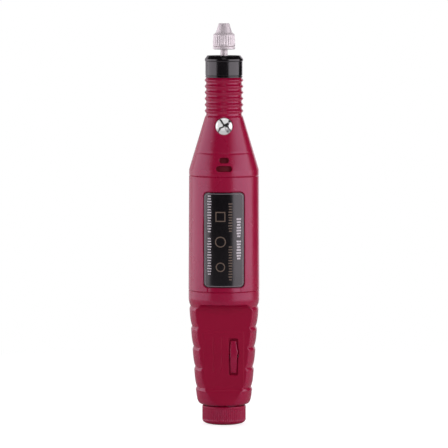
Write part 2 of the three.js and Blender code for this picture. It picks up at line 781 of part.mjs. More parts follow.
// A jaw pointing along +X, made closed and then opened down the cone.
function chuckJaw() {
  const half = JAW_WIDTH / 2
  const section = polygon([
    [JAW_CLOSED_R, -0.2],
    [0.5, -half],
    [5, -half],
    [5, half],
    [0.5, half],
    [JAW_CLOSED_R, 0.2],
  ])
  const bottom = JAW_CLOSED_TOP - JAW_LENGTH
  const cone = turned([
    [0, bottom],
    [jawConeRadius(bottom) - 0.1, bottom],
    [jawConeRadius(JAW_CLOSED_TOP) - 0.1, JAW_CLOSED_TOP],
    [0, JAW_CLOSED_TOP],
  ], 24)
  const closed = raised(section, bottom, JAW_CLOSED_TOP).intersect(cone)
  return closed.translate([JAW_OPENING, 0, -JAW_OPENING / SLEEVE_CONE_SLOPE])
}

add('chuck_body', chuckBody(), 'satinSteel')
add('chuck_sleeve', chuckSleeve(), 'satinSteel')
for (let i = 0; i < JAW_COUNT; i += 1) {
  add(`chuck_jaw_${i + 1}`, chuckJaw().rotate([0, 0, (360 * i) / JAW_COUNT]), 'darkSteel')
}

// ---------------------------------------------------------------- motor

function motorCan() {
  const body = turned([
    [CAN_R - CAN_WALL, CAN_BOTTOM],
    [CAN_R, CAN_BOTTOM],
    [CAN_R, CAN_TOP - 0.6],
    [CAN_R - 0.6, CAN_TOP],
    [MOTOR_BOSS_R, CAN_TOP],
    [MOTOR_BOSS_R, CAN_TOP + 1.9],
    [BUSHING_R, CAN_TOP + 1.9],
    [BUSHING_R, CAN_TOP - CAN_WALL],
    [CAN_R - CAN_WALL, CAN_TOP - CAN_WALL],
  ], 24)
  return drillMotorScrews(body, 1)
}

function drillMotorScrews(body, radius) {
  const holes = [-1, 1].map((side) => disc(radius, CAN_TOP - 3, MOUNT_TOP + 1, 12)
    .translate([side * MOTOR_SCREW_X, 0, 0]))
  return body.subtract(holes[0]).subtract(holes[1])
}

function motorMagnet(side) {
  const halfAngle = THREE.MathUtils.degToRad(60)
  const shape = new THREE.Shape()
  shape.absarc(0, 0, MAGNET_R, -halfAngle, halfAngle)
  shape.absarc(0, 0, MAGNET_BORE_R, halfAngle, -halfAngle, true)
  return raised(shape, MAGNET_BOTTOM, MAGNET_TOP, 12).rotate([0, 0, side > 0 ? 0 : 180])
}

function motorEndCap() {
  return turned([
    [MOTOR_SHAFT_R + RUNNING_GAP, END_CAP_BOTTOM],
    [3, END_CAP_BOTTOM],
    [3, CAN_BOTTOM + 0.2],
    [MAGNET_R, CAN_BOTTOM + 0.2],
    [MAGNET_R, END_CAP_TOP],
    [MOTOR_SHAFT_R + RUNNING_GAP, END_CAP_TOP],
  ], 24)
}

function motorBrush(side) {
  const half = BRUSH_HALF_WIDTH
  const arm = block(4.6, 5.4, -half, half, END_CAP_TOP + 0.05, BRUSH_TOP)
  const tip = block(COMMUTATOR_R + 0.1, 4.7, -half, half, BRUSH_BOTTOM, BRUSH_TOP)
  return arm.add(tip).rotate([0, 0, side > 0 ? 0 : 180])
}

function armature() {
  const poleCount = 3
  const halfAngle = THREE.MathUtils.degToRad(48)
  const shape = new THREE.Shape()
  for (let i = 0; i < poleCount; i += 1) {
    const middle = (2 * Math.PI * i) / poleCount
    shape.absarc(0, 0, ARMATURE_R, middle - halfAngle, middle + halfAngle)
    const gap = middle + Math.PI / poleCount
    shape.lineTo(3 * Math.cos(gap), 3 * Math.sin(gap))
  }
  const stack = raised(shape, ARMATURE_BOTTOM, ARMATURE_TOP, 6)
  return stack.subtract(disc(MOTOR_SHAFT_R + FIT_GAP, CAN_BOTTOM, CAN_TOP))
}

function armatureWinding() {
  const bottom = ARMATURE_TOP + 0.1
  return ring(MOTOR_SHAFT_R + FIT_GAP, WINDING_R, bottom, bottom + WINDING_HEIGHT)
}

function commutator() {
  return ring(MOTOR_SHAFT_R + FIT_GAP, COMMUTATOR_R, COMMUTATOR_BOTTOM, COMMUTATOR_TOP)
}

function motorScrew(side) {
  const head = disc(1.9, MOUNT_TOP + 0.05, MOUNT_TOP + 1.3, 12)
  const shank = disc(MOTOR_SCREW_R, CAN_TOP - 2, MOUNT_TOP + 0.5, 12)
  return head.add(shank).translate([side * MOTOR_SCREW_X, 0, 0])
}

function motorMount() {
  const plate = ring(3.3, BARREL_BORE_R - 0.1, MOUNT_BOTTOM, MOUNT_TOP, ROUND)
  const spacer = ring(3.3, CAN_R - 1, CAN_TOP + FIT_GAP, MOUNT_BOTTOM + 0.2, 24)
  return drillMotorScrews(plate.add(spacer), 1.05)
}

function motorFrontBushing() {
  const [bottom, top] = [CAN_TOP - 1.5, CAN_TOP + 1.8]
  return ring(MOTOR_SHAFT_R + RUNNING_GAP, BUSHING_R - FIT_GAP, bottom, top, 16)
}

add('motor_mount', motorMount(), 'blackMatte')
add('motor_can', motorCan(), 'satinSteel')
add('motor_magnet_left', motorMagnet(-1), 'magnet')
add('motor_magnet_right', motorMagnet(1), 'magnet')
add('motor_front_bushing', motorFrontBushing(), 'brass')
add('motor_end_cap', motorEndCap(), 'blackMatte')
add('motor_brush_left', motorBrush(-1), 'copper')
add('motor_brush_right', motorBrush(1), 'copper')
add('motor_screw_left', motorScrew(-1), 'darkSteel')
add('motor_screw_right', motorScrew(1), 'darkSteel')
add('motor_shaft', disc(MOTOR_SHAFT_R, MOTOR_SHAFT_BOTTOM, MOTOR_SHAFT_TOP, 16), 'satinSteel')
add('armature', armature(), 'darkSteel')
add('armature_winding', armatureWinding(), 'copper')
add('commutator', commutator(), 'copper')

// ---------------------------------------------------------------- lock button

function lockButton() {
  const half = LOCK_BUTTON_R
  const capDepth = 0.6
  // the dome, its rim and skirt, the stem with the pin, and a collar that keeps it in the housing
  const profile = [
    [0, LOCK_FACE_Y - LOCK_DOME],
    [half * 0.55, LOCK_FACE_Y - LOCK_DOME * 0.83],
    [half * 0.87, LOCK_FACE_Y - LOCK_DOME * 0.42],
    [half, LOCK_FACE_Y],
    [half, LOCK_SKIRT_BACK_Y],
    [half - 0.6, LOCK_SKIRT_BACK_Y],
    [half - 0.6, LOCK_FACE_Y + capDepth],
    [LOCK_PIN_R, LOCK_FACE_Y + capDepth],
    [LOCK_PIN_R, LOCK_GUIDE_BACK_Y + 0.1],
    [1.5, LOCK_GUIDE_BACK_Y + 0.1],
    [1.5, LOCK_GUIDE_BACK_Y + 0.5],
    [LOCK_PIN_R, LOCK_GUIDE_BACK_Y + 0.5],
    [LOCK_PIN_R, LOCK_PIN_TIP_Y],
    [0, LOCK_PIN_TIP_Y],
  ]
  return turned(profile, 20).rotate([-90, 0, 0]).translate([0, 0, LOCK_Z])
}

class Coil extends THREE.Curve {
  constructor(radius, fromY, toY, turns) {
    super()
    Object.assign(this, { radius, fromY, toY, turns })
  }

  getPoint(share, target = new THREE.Vector3()) {
    const angle = 2 * Math.PI * this.turns * share
    return target.set(
      this.radius * Math.cos(angle),
      this.fromY + share * (this.toY - this.fromY),
      this.radius * Math.sin(angle),
    )
  }
}

function lockSpring() {
  const wireR = 0.16
  const coil = new Coil(1.7, LOCK_FACE_Y + 0.6 + wireR + 0.1, LOCK_SEAT_Y - wireR - 0.05, 3)
  return tube(coil, wireR, 36, 6).translate([0, 0, LOCK_Z])
}

add('lock_button', lockButton(), 'chrome')
add('lock_spring', lockSpring(), 'darkSteel')

// ---------------------------------------------------------------- direction rocker and its switch

function directionRocker() {
  const y = ROCKER_PIVOT_Y
  const z = SLOT_Z
  const tipY = y - 2.05
  const crownY = y - 4.05
  const outline = new THREE.Shape()
  outline.moveTo(tipY, z - ROCKER_HALF_HEIGHT)
  outline.quadraticCurveTo(crownY, z, tipY, z + ROCKER_HALF_HEIGHT)
  for (const [dy, dz] of [
    [-0.75, 6.2], [-0.3, 2], [3, 2], [3, 1.02], [1.5, 1.02],
    [1.5, -1.02], [3, -1.02], [3, -2], [-0.3, -2], [-0.75, -6.2],
  ]) {
    outline.lineTo(y + dy, z + dz)
  }
  const body = throughX(outline, SLOT_X - ROCKER_WIDTH / 2, SLOT_X + ROCKER_WIDTH / 2, 12)
  return body.subtract(rodAlongX(ROCKER_PIN_R + RUNNING_GAP, 0, 8, y, z, 12))
}

function rockerPin() {
  return rodAlongX(ROCKER_PIN_R, ...ROCKER_PIN_ENDS, ROCKER_PIVOT_Y, SLOT_Z, 12)
}

function switchBody() {
  const box = block(SLOT_X - 3, SLOT_X + 3, -2.4, BOARD_FRONT_Y - 0.05, SLOT_Z - 6, SLOT_Z + 6)
  return box.subtract(block(SLOT_X - 1, SLOT_X + 1, -3, -0.5, SLOT_Z - 3.2, SLOT_Z + 3.2))
}

function switchLever() {
  const half = LEVER_WIDTH / 2
  return block(SLOT_X - 0.85, SLOT_X + 0.85, -3.9, -0.6, SLOT_Z - half, SLOT_Z + half)
}

add('direction_rocker', directionRocker(), 'crimson')
add('rocker_pin', rockerPin(), 'satinSteel')
add('switch_body', switchBody(), 'satinSteel')
add('switch_lever', switchLever(), 'blackMatte')

// ---------------------------------------------------------------- circuit board

function driveTransistor() {
  const half = TRANSISTOR_HALF_WIDTH
  const moulding = block(-half, half, BOARD_BACK_Y + 0.05, BOARD_BACK_Y + 4, 27, 36)
  const tab = block(-half, half, BOARD_BACK_Y + 2.7, BOARD_BACK_Y + 4, 35.9, 41)
  return moulding.add(tab).subtract(rodAlongY(1.6, 0, FAR, 0, 38.6, 12))
}

function circuitBoard() {
  const half = BOARD_HALF_WIDTH
  return block(-half, half, BOARD_FRONT_Y, BOARD_BACK_Y, BOARD_BOTTOM, BOARD_TOP)
}

function capacitor() {
  const y = BOARD_FRONT_Y - CAPACITOR_R - 0.1
  return disc(CAPACITOR_R, 32, 42.5).translate([CAPACITOR_X, y, 0])
}

add('circuit_board', circuitBoard(), 'boardGreen')
add('capacitor', capacitor(), 'blackMatte')
add('drive_transistor', driveTransistor(), 'blackMatte')

// ---------------------------------------------------------------- speed dial and power socket

function tailKnob() {
  const envelope = turned([
    [KNOB_MOUTH_R, 0],
    [6.4, 0],
    [7.9, 0.35],
    [8.8, 0.9],
    [KNOB_R, 1.7],
    [KNOB_R, KNOB_TOP - 0.3],
    [KNOB_R - 0.3, KNOB_TOP],
    [KNOB_HUB_R, KNOB_TOP],
    [KNOB_HUB_R, ROTOR_BOTTOM],
    [KNOB_MOUTH_R, ROTOR_BOTTOM],
  ], ROUND)
  const knurl = flutedOutline(KNOB_R, KNOB_FLUTE_DEPTH, KNOB_FLUTES)
  const fluted = raised(knurl, KNURL_BOTTOM, KNURL_TOP)
  const plainBelow = disc(KNOB_R + 1, -1, KNURL_BOTTOM, 8)
  const plainAbove = disc(KNOB_R + 1, KNURL_TOP, ROTOR_BOTTOM + 1, 8)
  return envelope.intersect(fluted.add(plainBelow).add(plainAbove))
}

function potRotor() {
  return ring(SOCKET_R + 0.3, ROTOR_R, ROTOR_BOTTOM + 0.03, POT_BOTTOM - 0.2, 24)
}

// The pot has a flat that keys it to the wall behind the recess.
function potBody() {
  const body = ring(SOCKET_R + FIT_GAP, POT_R, POT_BOTTOM, POT_TOP, 24)
  return body.subtract(block(-FAR, FAR, -FAR, POT_FLAT_Y, 0, GRIP_TOP + 3))
}

function dcSocket() {
  const body = turned([
    [0, POT_TOP - 1],
    [SOCKET_BORE_R, POT_TOP - 1],
    [SOCKET_BORE_R, 0.6],
    [SOCKET_R, 0.6],
    [SOCKET_R, POT_TOP + 0.2],
    [0, POT_TOP + 0.2],
  ])
  const lugs = [-1, 1].map((side) => block(-0.9, 0.9, -0.3, 0.3, POT_TOP, POT_TOP + 2.4)
    .translate([side * 1.9, 0, 0]))
  return body.add(lugs[0]).add(lugs[1])
}

add('tail_knob', tailKnob(), 'crimson')
add('speed_pot_rotor', potRotor(), 'brass')
add('speed_pot_body', potBody(), 'whitePlastic')
add('dc_socket', dcSocket(), 'blackMatte')
add('dc_socket_collar', ring(SOCKET_R + FIT_GAP, 4.5, 0.5, 1.8), 'satinSteel')

// ---------------------------------------------------------------- wires

function wire(points) {
  const path = new THREE.CatmullRomCurve3(points.map(([x, y, z]) => new THREE.Vector3(x, y, z)))
  return tube(path, WIRE_R, 10, 6)
}

for (const [colour, side] of [['red', -1], ['black', 1]]) {
  const look = `${colour}Wire`
  const x = side * 6
  add(`motor_wire_${colour}`, wire([[x, 3.4, 41.5], [x, 6, 46], [x, 6.5, 54], [x, 2, 61.5]]), look)
  const path = [[side * 1.9, 0, 20.4], [side * 2, 3.2, 21.5], [side * 2.4, 3.8, 24]]
  add(`socket_wire_${colour}`, wire(path), look)
}

export default group
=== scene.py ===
"""Looks of the electric nail drill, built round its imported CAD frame."""

import json
from math import acos, asin, ceil, copysign, cos, exp, hypot, pi, radians, sin, sqrt, tan

import bmesh
import bpy
import numpy as np
from mathutils import Matrix, Vector


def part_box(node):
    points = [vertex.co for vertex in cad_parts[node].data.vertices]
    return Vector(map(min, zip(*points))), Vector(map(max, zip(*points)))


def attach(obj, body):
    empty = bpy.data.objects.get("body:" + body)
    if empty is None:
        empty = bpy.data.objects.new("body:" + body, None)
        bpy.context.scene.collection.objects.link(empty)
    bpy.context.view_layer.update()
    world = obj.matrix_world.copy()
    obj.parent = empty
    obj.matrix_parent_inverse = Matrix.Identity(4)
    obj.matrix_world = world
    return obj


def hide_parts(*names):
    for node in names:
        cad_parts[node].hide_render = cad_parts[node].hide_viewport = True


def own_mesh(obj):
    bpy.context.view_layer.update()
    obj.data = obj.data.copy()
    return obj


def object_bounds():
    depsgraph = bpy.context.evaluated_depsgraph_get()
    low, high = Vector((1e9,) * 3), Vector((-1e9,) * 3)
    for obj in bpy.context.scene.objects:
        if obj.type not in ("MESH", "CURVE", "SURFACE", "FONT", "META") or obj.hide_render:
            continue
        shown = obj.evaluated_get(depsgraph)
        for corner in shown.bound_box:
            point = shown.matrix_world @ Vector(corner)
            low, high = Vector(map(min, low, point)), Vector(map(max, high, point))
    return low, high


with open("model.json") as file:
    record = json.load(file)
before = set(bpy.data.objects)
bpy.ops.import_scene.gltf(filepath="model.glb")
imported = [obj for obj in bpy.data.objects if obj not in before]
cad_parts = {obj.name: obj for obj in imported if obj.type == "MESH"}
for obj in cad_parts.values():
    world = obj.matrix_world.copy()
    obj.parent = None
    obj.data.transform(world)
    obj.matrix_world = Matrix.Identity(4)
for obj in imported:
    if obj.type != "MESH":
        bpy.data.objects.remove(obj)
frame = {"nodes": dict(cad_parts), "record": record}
CAD_BOUNDS = [list(corner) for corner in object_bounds()]

# Shapes are written in millimetres and scaled to metres as each mesh is made.
MM = 0.001
X, Y, Z = 0, 1, 2


def span(node, axis):
    """A CAD node's lowest and highest coordinate along an axis, in millimetres."""
    low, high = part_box(node)
    return low[axis] / MM, high[axis] / MM


def centre(node, axis):
    return sum(span(node, axis)) / 2


def radius_of(node):
    """A node's highest X: its radius, if it is round about the axis."""
    return span(node, X)[1]


# ---- stations and radii from the frame

GRIP_BOTTOM, GRIP_TOP = span("grip_front_shell", Z)
BARREL_FOOT, BARREL_TOP = span("middle_barrel", Z)
SPIGOT_FOOT, NECK_TOP = span("front_housing", Z)
CAP_FOOT, CAP_TOP = span("nose_cap", Z)
CHUCK_FOOT, CHUCK_CORE_TOP = span("chuck_body", Z)
SLEEVE_FOOT, NOSE_TOP = span("chuck_sleeve", Z)
KNOB_HUB_TOP = span("tail_knob", Z)[1]
SOCKET_FOOT, SOCKET_TOP = span("dc_socket", Z)

BARREL_R = radius_of("middle_barrel")
SHOULDER_R = radius_of("front_housing")
CAP_R = radius_of("nose_cap")
SLEEVE_R = radius_of("chuck_sleeve")
SPINDLE_R = radius_of("spindle_shaft")
KNOB_R = radius_of("tail_knob")
SOCKET_R = radius_of("dc_socket")
COLLAR_R = radius_of("dc_socket_collar")

# ---- sizes that a box can't tell

SIDES = 192
CRISP_ANGLE = radians(35)

CONE_TOP = 130.4
CONE_TOP_R = 8.1
SHOULDER_Z = 108.2
SHOULDER_BEND = 110.6
SHOULDER_BEND_R = 14.07
WALL = 1.7
NECK_BORE_R = 6.05
BEARING_SEAT_R = 5.03
RING_LINE_Z = 115.5
RING_FOOT, RING_TOP = RING_LINE_Z - 0.16, RING_LINE_Z + 0.16
RING_DEPTH = 0.07
SPIGOT_R = 12.95
SPIGOT_BORE_R = 11.6
WEB_BORE_R = 3.5
WEB_FOOT = span("rear_bearing", Z)[0] - 0.2
WEB_TOP = span("rear_bearing", Z)[1] + 1.1
# The height, width and length along the drill of each vent slot.
VENTS = ((112.6, 4.1, 2.3), (109.1, 6.7, 2.4))

RIB_PITCH = 2.6
FIRST_RIB_Z = 133
RIB_GROOVE_R = 7.5
RIB_CREST_R = 8.15

NOTCH_COUNT = 5
NOTCH_PITCH = 8.6
TOP_NOTCH_Z = 50.2
NOTCH_LINE_R = 11.47
NOTCH_LINE_SLOPE = 0.0776
CREST_HEIGHT = 0.62

RECESS_Y = -8.2
RECESS_TOP = 51.7
RECESS_FILLET = 4
RECESS_WALL = 1.6
FOOT_WALL_Y = -8.15
PANEL_HEIGHT = 0.1

SLOT_X = 4.03
SLOT_Z = 29.2
SLOT_WIDTH = 3.75
SLOT_HEIGHT = 15.6

BADGE_BOTTOM = 58.7
BADGE_TOP = 99.6
BADGE_MIDDLE = (BADGE_TOP + BADGE_BOTTOM) / 2
BADGE_HALF_HEIGHT = (BADGE_TOP - BADGE_BOTTOM) / 2
BADGE_HALF_WIDTH = 8.9
BADGE_CORNER_R = 2.3
BADGE_RECESS = 0.6
BADGE_GAP = 0.4
BADGE_FACE_DEPTH = 0.12
POCKET_FLOOR_Y = -4.25

KNOB_FLUTES = 64
SLEEVE_FLUTES = 26
GRIP_SCREWS = ("grip_screw_upper", "grip_screw_lower")


# ---- mesh helpers

def soft_min(a, b, blend):
    """The smaller of two values, rounded off where they cross."""
    share = np.clip(0.5 + 0.5 * (b - a) / blend, 0, 1)
    return b + (a - b) * share - blend * share * (1 - share)


def smoothstep(low, high, value):
    share = np.clip((value - low) / (high - low), 0, 1)
    return share * share * (3 - 2 * share)


def place(data):
    """A new object in the scene, named after its mesh, light or camera."""
    thing = bpy.data.objects.new(data.name, data)
    bpy.context.scene.collection.objects.link(thing)
    return thing


def mesh_object(name, points, faces, matrix=None):
    """A new object from points in millimetres, its faces turned outwards."""
    mesh = bpy.data.meshes.new(name)
    mesh.from_pydata((np.asarray(points, float) * MM).tolist(), [], faces)
    if matrix is not None:
        mesh.transform(matrix)
    tidy = bmesh.new()
    tidy.from_mesh(mesh)
    bmesh.ops.recalc_face_normals(tidy, faces=tidy.faces)
    tidy.to_mesh(mesh)
    tidy.free()
    return place(mesh)


def dress(thing, look):
    thing.data.materials.clear()
    thing.data.materials.append(MATERIALS[look])


def put(thing, body, slot, *nodes, look=None):
    """Gives a piece its body, its slot, the CAD nodes that it replaces, and smooth shading with
    crisp edges. It looks like its slot unless another look is named."""
    dress(thing, look or slot)
    thing.data.shade_smooth()
    thing.data.set_sharp_from_angle(angle=CRISP_ANGLE)
    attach(thing, body)
    if nodes:
        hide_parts(*nodes)


def rounded(corners):
    """An outline of (radius, z, fillet) corners, with each corner swept as a curve."""
    outline = []
    steps = 4
    for i, (radius, z, fillet) in enumerate(corners):
        corner = np.array((radius, z), float)
        if not fillet:
            outline.append(corner)
            continue
        before = np.array(corners[i - 1][:2]) - corner
        after = np.array(corners[(i + 1) % len(corners)][:2]) - corner
        length_before, length_after = np.linalg.norm(before), np.linalg.norm(after)
        before, after = before / length_before, after / length_after
        half_angle = acos(np.clip(before @ after, -1, 1)) / 2
        reach = min(fillet / tan(half_angle), 0.49 * length_before, 0.49 * length_after)
        for k in range(steps + 1):
            t = k / steps
            bend = (1 - t) ** 2 * before * reach + t ** 2 * after * reach
            outline.append(corner + bend)
    return np.array(outline)


def divided(outline, step, closed=True):
    """The outline with long stretches cut into equal parts no longer than step."""
    points = []
    for i in range(len(outline) - (not closed)):
        start, end = outline[i], outline[(i + 1) % len(outline)]
        parts = max(1, ceil(np.linalg.norm(end - start) / step))
        points += [start + (end - start) * k / parts for k in range(parts)]
    if not closed:
        points.append(outline[-1])
    return np.array(points)


def circle_angles(count):
    return np.arange(count) * 2 * pi / count


def join_loops(faces, first, second):
    for k, following in enumerate([*range(1, len(first)), 0]):
        faces.append((first[k], first[following], second[following], second[k]))


def grid_faces(rows, columns, closed_rows=False, closed_columns=True):
    """Faces of a grid of points that is stored row by row and may close on itself either way."""
    faces = []
    for i in range(rows - (not closed_rows)):
        j = (i + 1) % rows
        for k in range(columns - (not closed_columns)):
            m = (k + 1) % columns
            faces.append((i * columns + k, i * columns + m, j * columns + m, j * columns + k))
    return faces


def loft(name, loops, matrix=None):
    """A closed solid through loops of as many points each, its two ends capped."""
    count = len(loops[0])
    points = [point for loop in loops for point in loop]
    caps = [range(count), range(len(points) - count, len(points))]
    return mesh_object(name, points, caps + grid_faces(len(loops), count), matrix)


def lathe(name, outline, sides, warp=None, matrix=None):
    """Revolves an outline of (radius, z) about Z. It closes on itself, or starts and ends on
    the axis. warp(radius, z, angle) may change the radius."""
    on_axis = outline[0][0] < 1e-9 and outline[-1][0] < 1e-9
    rows = outline[1:-1] if on_axis else outline
    count = len(rows)
    radius, angle = np.meshgrid(rows[:, 0], circle_angles(sides), indexing="ij")
    z = np.repeat(rows[:, 1][:, None], sides, axis=1)
    if warp:
        radius = warp(radius, z, angle)
    points = np.stack([radius * np.cos(angle), radius * np.sin(angle), z], axis=-1)
    points = points.reshape(-1, 3).tolist()
    faces = grid_faces(count, sides, closed_rows=not on_axis)
    if on_axis:
        for pole, row in ((outline[0], 0), (outline[-1], count - 1)):
            tip = len(points)
            points.append((0, 0, pole[1]))
            for k in range(sides):
                faces.append((tip, row * sides + k, row * sides + (k + 1) % sides))
    return mesh_object(name, points, faces, matrix)


def turned(name, corners, body, slot, node, sides=96, step=None, **ways):
    """A piece revolved from rounded corners, with its long stretches divided if a step is given."""
    outline = rounded(corners)
    if step:
        outline = divided(outline, step)
    put(lathe(name, outline, sides, **ways), body, slot, node)


def shell(name, angles, heights, outer, inner, inner_limit=None):
    """A wall between outer(angle, z) and an inner outline of (radius, z) from top to bottom.
    Angles run from the front (-Y) towards +X; a list that stops short of a turn is capped."""
    whole = abs(angles[-1] - angles[0]) > 2 * pi * (1 - 1.5 / len(angles))
    count = len(angles)
    inner = np.asarray(inner, float)
    angle, z = np.meshgrid(angles, np.concatenate([heights, inner[:, 1]]))
    split = len(heights)
    outside = outer(angle[:split], z[:split])
    inside = np.repeat(inner[:, 0][:, None], count, axis=1)
    if inner_limit:
        inside = np.minimum(inside, inner_limit(angle[split:], z[split:]))
    radius = np.vstack([outside, inside])
    points = np.stack([radius * np.sin(angle), -radius * np.cos(angle), z], axis=-1).reshape(-1, 3)
    rows = len(z)
    faces = grid_faces(rows, count, closed_rows=True, closed_columns=whole)
    if not whole:
        faces += [range(0, rows * count, count), range(count - 1, rows * count, count)]
    return mesh_object(name, points, faces)


def boolean(thing, tool, operation="DIFFERENCE"):
    """Applies one boolean with a tool object, then removes the tool."""
    modifier = thing.modifiers.new("cut", "BOOLEAN")
    modifier.operation = operation
    modifier.solver = "EXACT"
    modifier.object = tool
    evaluated = thing.evaluated_get(bpy.context.evaluated_depsgraph_get())
    thing.data = bpy.data.meshes.new_from_object(evaluated)
    thing.modifiers.clear()
    bpy.data.objects.remove(tool)


def stadium(half_width, half_height, corner, steps=8):
    """Points of a rounded rectangle round the origin, anticlockwise, with outward normals."""
    points = []
    normals = []
    for quarter, side in enumerate(((1, 1), (-1, 1), (-1, -1), (1, -1))):
        middle = np.array(side) * (half_width - corner, half_height - corner)
        for k in range(steps + 1):
            turn = pi / 2 * (quarter + k / steps)
            normal = np.array((cos(turn), sin(turn)))
            points.append(middle + normal * corner)
            normals.append(normal)
    return np.array(points), np.array(normals)


def flared_tool(outline, normals, middle, front, fillet, depth, steps=5):
    """A cutter for a hole with a rounded rim. It runs along Y from outside the front surface,
    whose y at a depth below it is front(x, z, below), to a depth inside it."""
    rings = [(fillet + 0.02, -2.0), (fillet + 0.02, -0.02)]
    for k in range(1, steps + 1):
        turn = pi / 2 * k / steps
        rings.append((fillet * (1 - sin(turn)), fillet * (1 - cos(turn))))
    rings.append((0, depth))
    loops = []
    for spread, below in rings:
        loops.append([])
        for point, normal in zip(outline, normals):
            x, z = np.array(middle) + point + normal * spread
            loops[-1].append((x, front(x, z, below), z))
    return loft("tool", loops)


def turned_front(radius_at):
    """The front of a turned surface, for flared_tool."""
    def front(x, z, below):
        reach = radius_at(z) - below
        return -sqrt(max(reach * reach - x * x, 0))
    return front


def along_y(origin_z, origin_x=0.0):
    """Turns a lathe about Z into one about Y, its +Z to +Y."""
    turn = Matrix.Rotation(-pi / 2, 4, "X")
    return Matrix.Translation((origin_x * MM, 0, origin_z * MM)) @ turn


# ---- material helpers

class Nodes:
    """A node tree, with short calls for the nodes in it."""

    def __init__(self, owner):
        owner.use_nodes = True
        self.tree = owner.node_tree

    def feed(self, node, inputs):
        """Sets a node's inputs from numbers, or joins sockets to them."""
        for key, value in inputs.items():
            if isinstance(value, bpy.types.NodeSocket):
                self.tree.links.new(value, node.inputs[key])
            else:
                node.inputs[key].default_value = value

    def add(self, kind, inputs=None, output=0, **settings):
        """Adds a node and gives back one of its outputs."""
        node = self.tree.nodes.new("ShaderNode" + kind)
        for key, value in settings.items():
            setattr(node, key, value)
        self.feed(node, inputs or {})
        return node.outputs[output]

    def ranged(self, value, low, high, from_low=0.3, from_high=0.7):
        limits = {"From Min": from_low, "From Max": from_high, "To Min": low, "To Max": high}
        return self.add("MapRange", {"Value": value, **limits}, "Result")

    def math(self, operation, *values):
        """A maths node on one or two values, each a socket or a number."""
        return self.add("Math", dict(enumerate(values)), operation=operation)

    def mix(self, factor, first, second):
        return self.add("MixShader", {0: factor, 1: first, 2: second})

    def finish(self, shader):
        output = self.tree.nodes.get("Material Output") or self.tree.nodes["World Output"]
        self.feed(output, {"Surface": shader})


MATERIALS = {}


class Shader(Nodes):
    """A material with a Principled BSDF, kept in MATERIALS under its name."""

    def __init__(self, name, color, roughness, metallic=0.0):
        MATERIALS[name] = bpy.data.materials.new(name)
        super().__init__(MATERIALS[name])
        self.place = self.add("TexCoord", output="Object")
        self.color = color
        self.roughness = roughness
        self.set({"Base Color": (*color, 1), "Roughness": roughness, "Metallic": metallic})

    def set(self, inputs):
        self.feed(self.tree.nodes["Principled BSDF"], inputs)

    def noise(self, scale, detail, stretch=(1, 1, 1)):
        point = self.add("Mapping", {"Scale": stretch, "Vector": self.place})
        return self.add("TexNoise", {"Scale": scale, "Detail": detail, "Vector": point}, "Fac")

    def surface(self):
        return self.tree.nodes["Principled BSDF"].outputs[0]

    def vary_roughness(self, value, amount):
        self.set({"Roughness": self.ranged(value, self.roughness - amount, self.roughness + amount)})

    def vary_color(self, value, amount):
        darker = [channel * (1 - amount) for channel in self.color]
        lighter = [min(1, channel * (1 + amount)) for channel in self.color]
        ends = {"A": (*darker, 1), "B": (*lighter, 1), "Factor": self.ranged(value, 0, 1)}
        self.set({"Base Color": self.add("Mix", ends, "Result", data_type="RGBA")})

    def bump(self, value, height):
        self.set({"Normal": self.add("Bump", {"Distance": height, "Height": value}, "Normal")})


def plastic(name, color, roughness, ior=1.5, grain=0.000004, sheen=(1, 1, 1), glow=None):
    """Moulded plastic with a fine grain. Its glow is painted light, an emission that stands in for
    light that comes through thin walls.
    """
    shader = Shader(name, color, roughness)
    shader.set({"IOR": ior, "Specular Tint": (*sheen, 1)})
    shader.vary_roughness(shader.noise(90, 3), 0.03)
    shader.vary_color(shader.noise(45, 2), 0.03)
    shader.bump(shader.noise(2600, 3), grain)
    # Painted light: the glow makes the plastic shine though it is no lamp.
    if glow:
        shader.set({"Emission Color": (*glow, 1), "Emission Strength": 1})


def metal(name, color, roughness, metallic=1.0, scratch=0.000003):
    """Turned metal: fine marks round the axis, and patches of duller shine."""
    shader = Shader(name, color, roughness, metallic)
    marks = shader.noise(900, 4, (1, 1, 12))
    shader.vary_roughness(marks, roughness * 0.2)
    shader.vary_color(shader.noise(160, 2), 0.04)
    shader.bump(marks, scratch)


def chrome(name):
    """Mirror chrome with a painted reflection: an emission that follows the reflected direction paints
    a bright tent, whose dark seams cross.
    """
    shader = Shader(name, (0.9, 0.9, 0.91), 0.05, 1.0)
    x = shader.add("SeparateXYZ", {0: shader.place.node.outputs["Reflection"]}, "X")
    z = x.node.outputs["Z"]
    # Painted reflection: the bright panels, their dark crossing seams and their fade downwards are
    # emission, not lamps.
    across = shader.math("ABSOLUTE", x)
    up = shader.math("ABSOLUTE", shader.math("SUBTRACT", z, 0.02))
    bend = shader.ranged(shader.noise(330, 1), -0.3, 0.3)
    seam = shader.math("ABSOLUTE", shader.math("ADD", shader.math("SUBTRACT", across, up), bend))
    panel = shader.ranged(seam, 0.02, 1.0, 0.1, 0.22)
    reflection_fade = shader.ranged(z, 0.62, 1, -0.5, -0.2)
    painted_reflection = shader.add("Emission", {"Strength": shader.math("MULTIPLY", panel, reflection_fade)})
    shader.finish(shader.mix(0.7, shader.surface(), painted_reflection))


def felt(name, color):
    shader = Shader(name, color, 0.95)
    shader.vary_color(shader.noise(1800, 5), 0.25)
    shader.bump(shader.noise(3000, 6), 0.00006)
    shader.set({"Sheen Weight": 0.6})


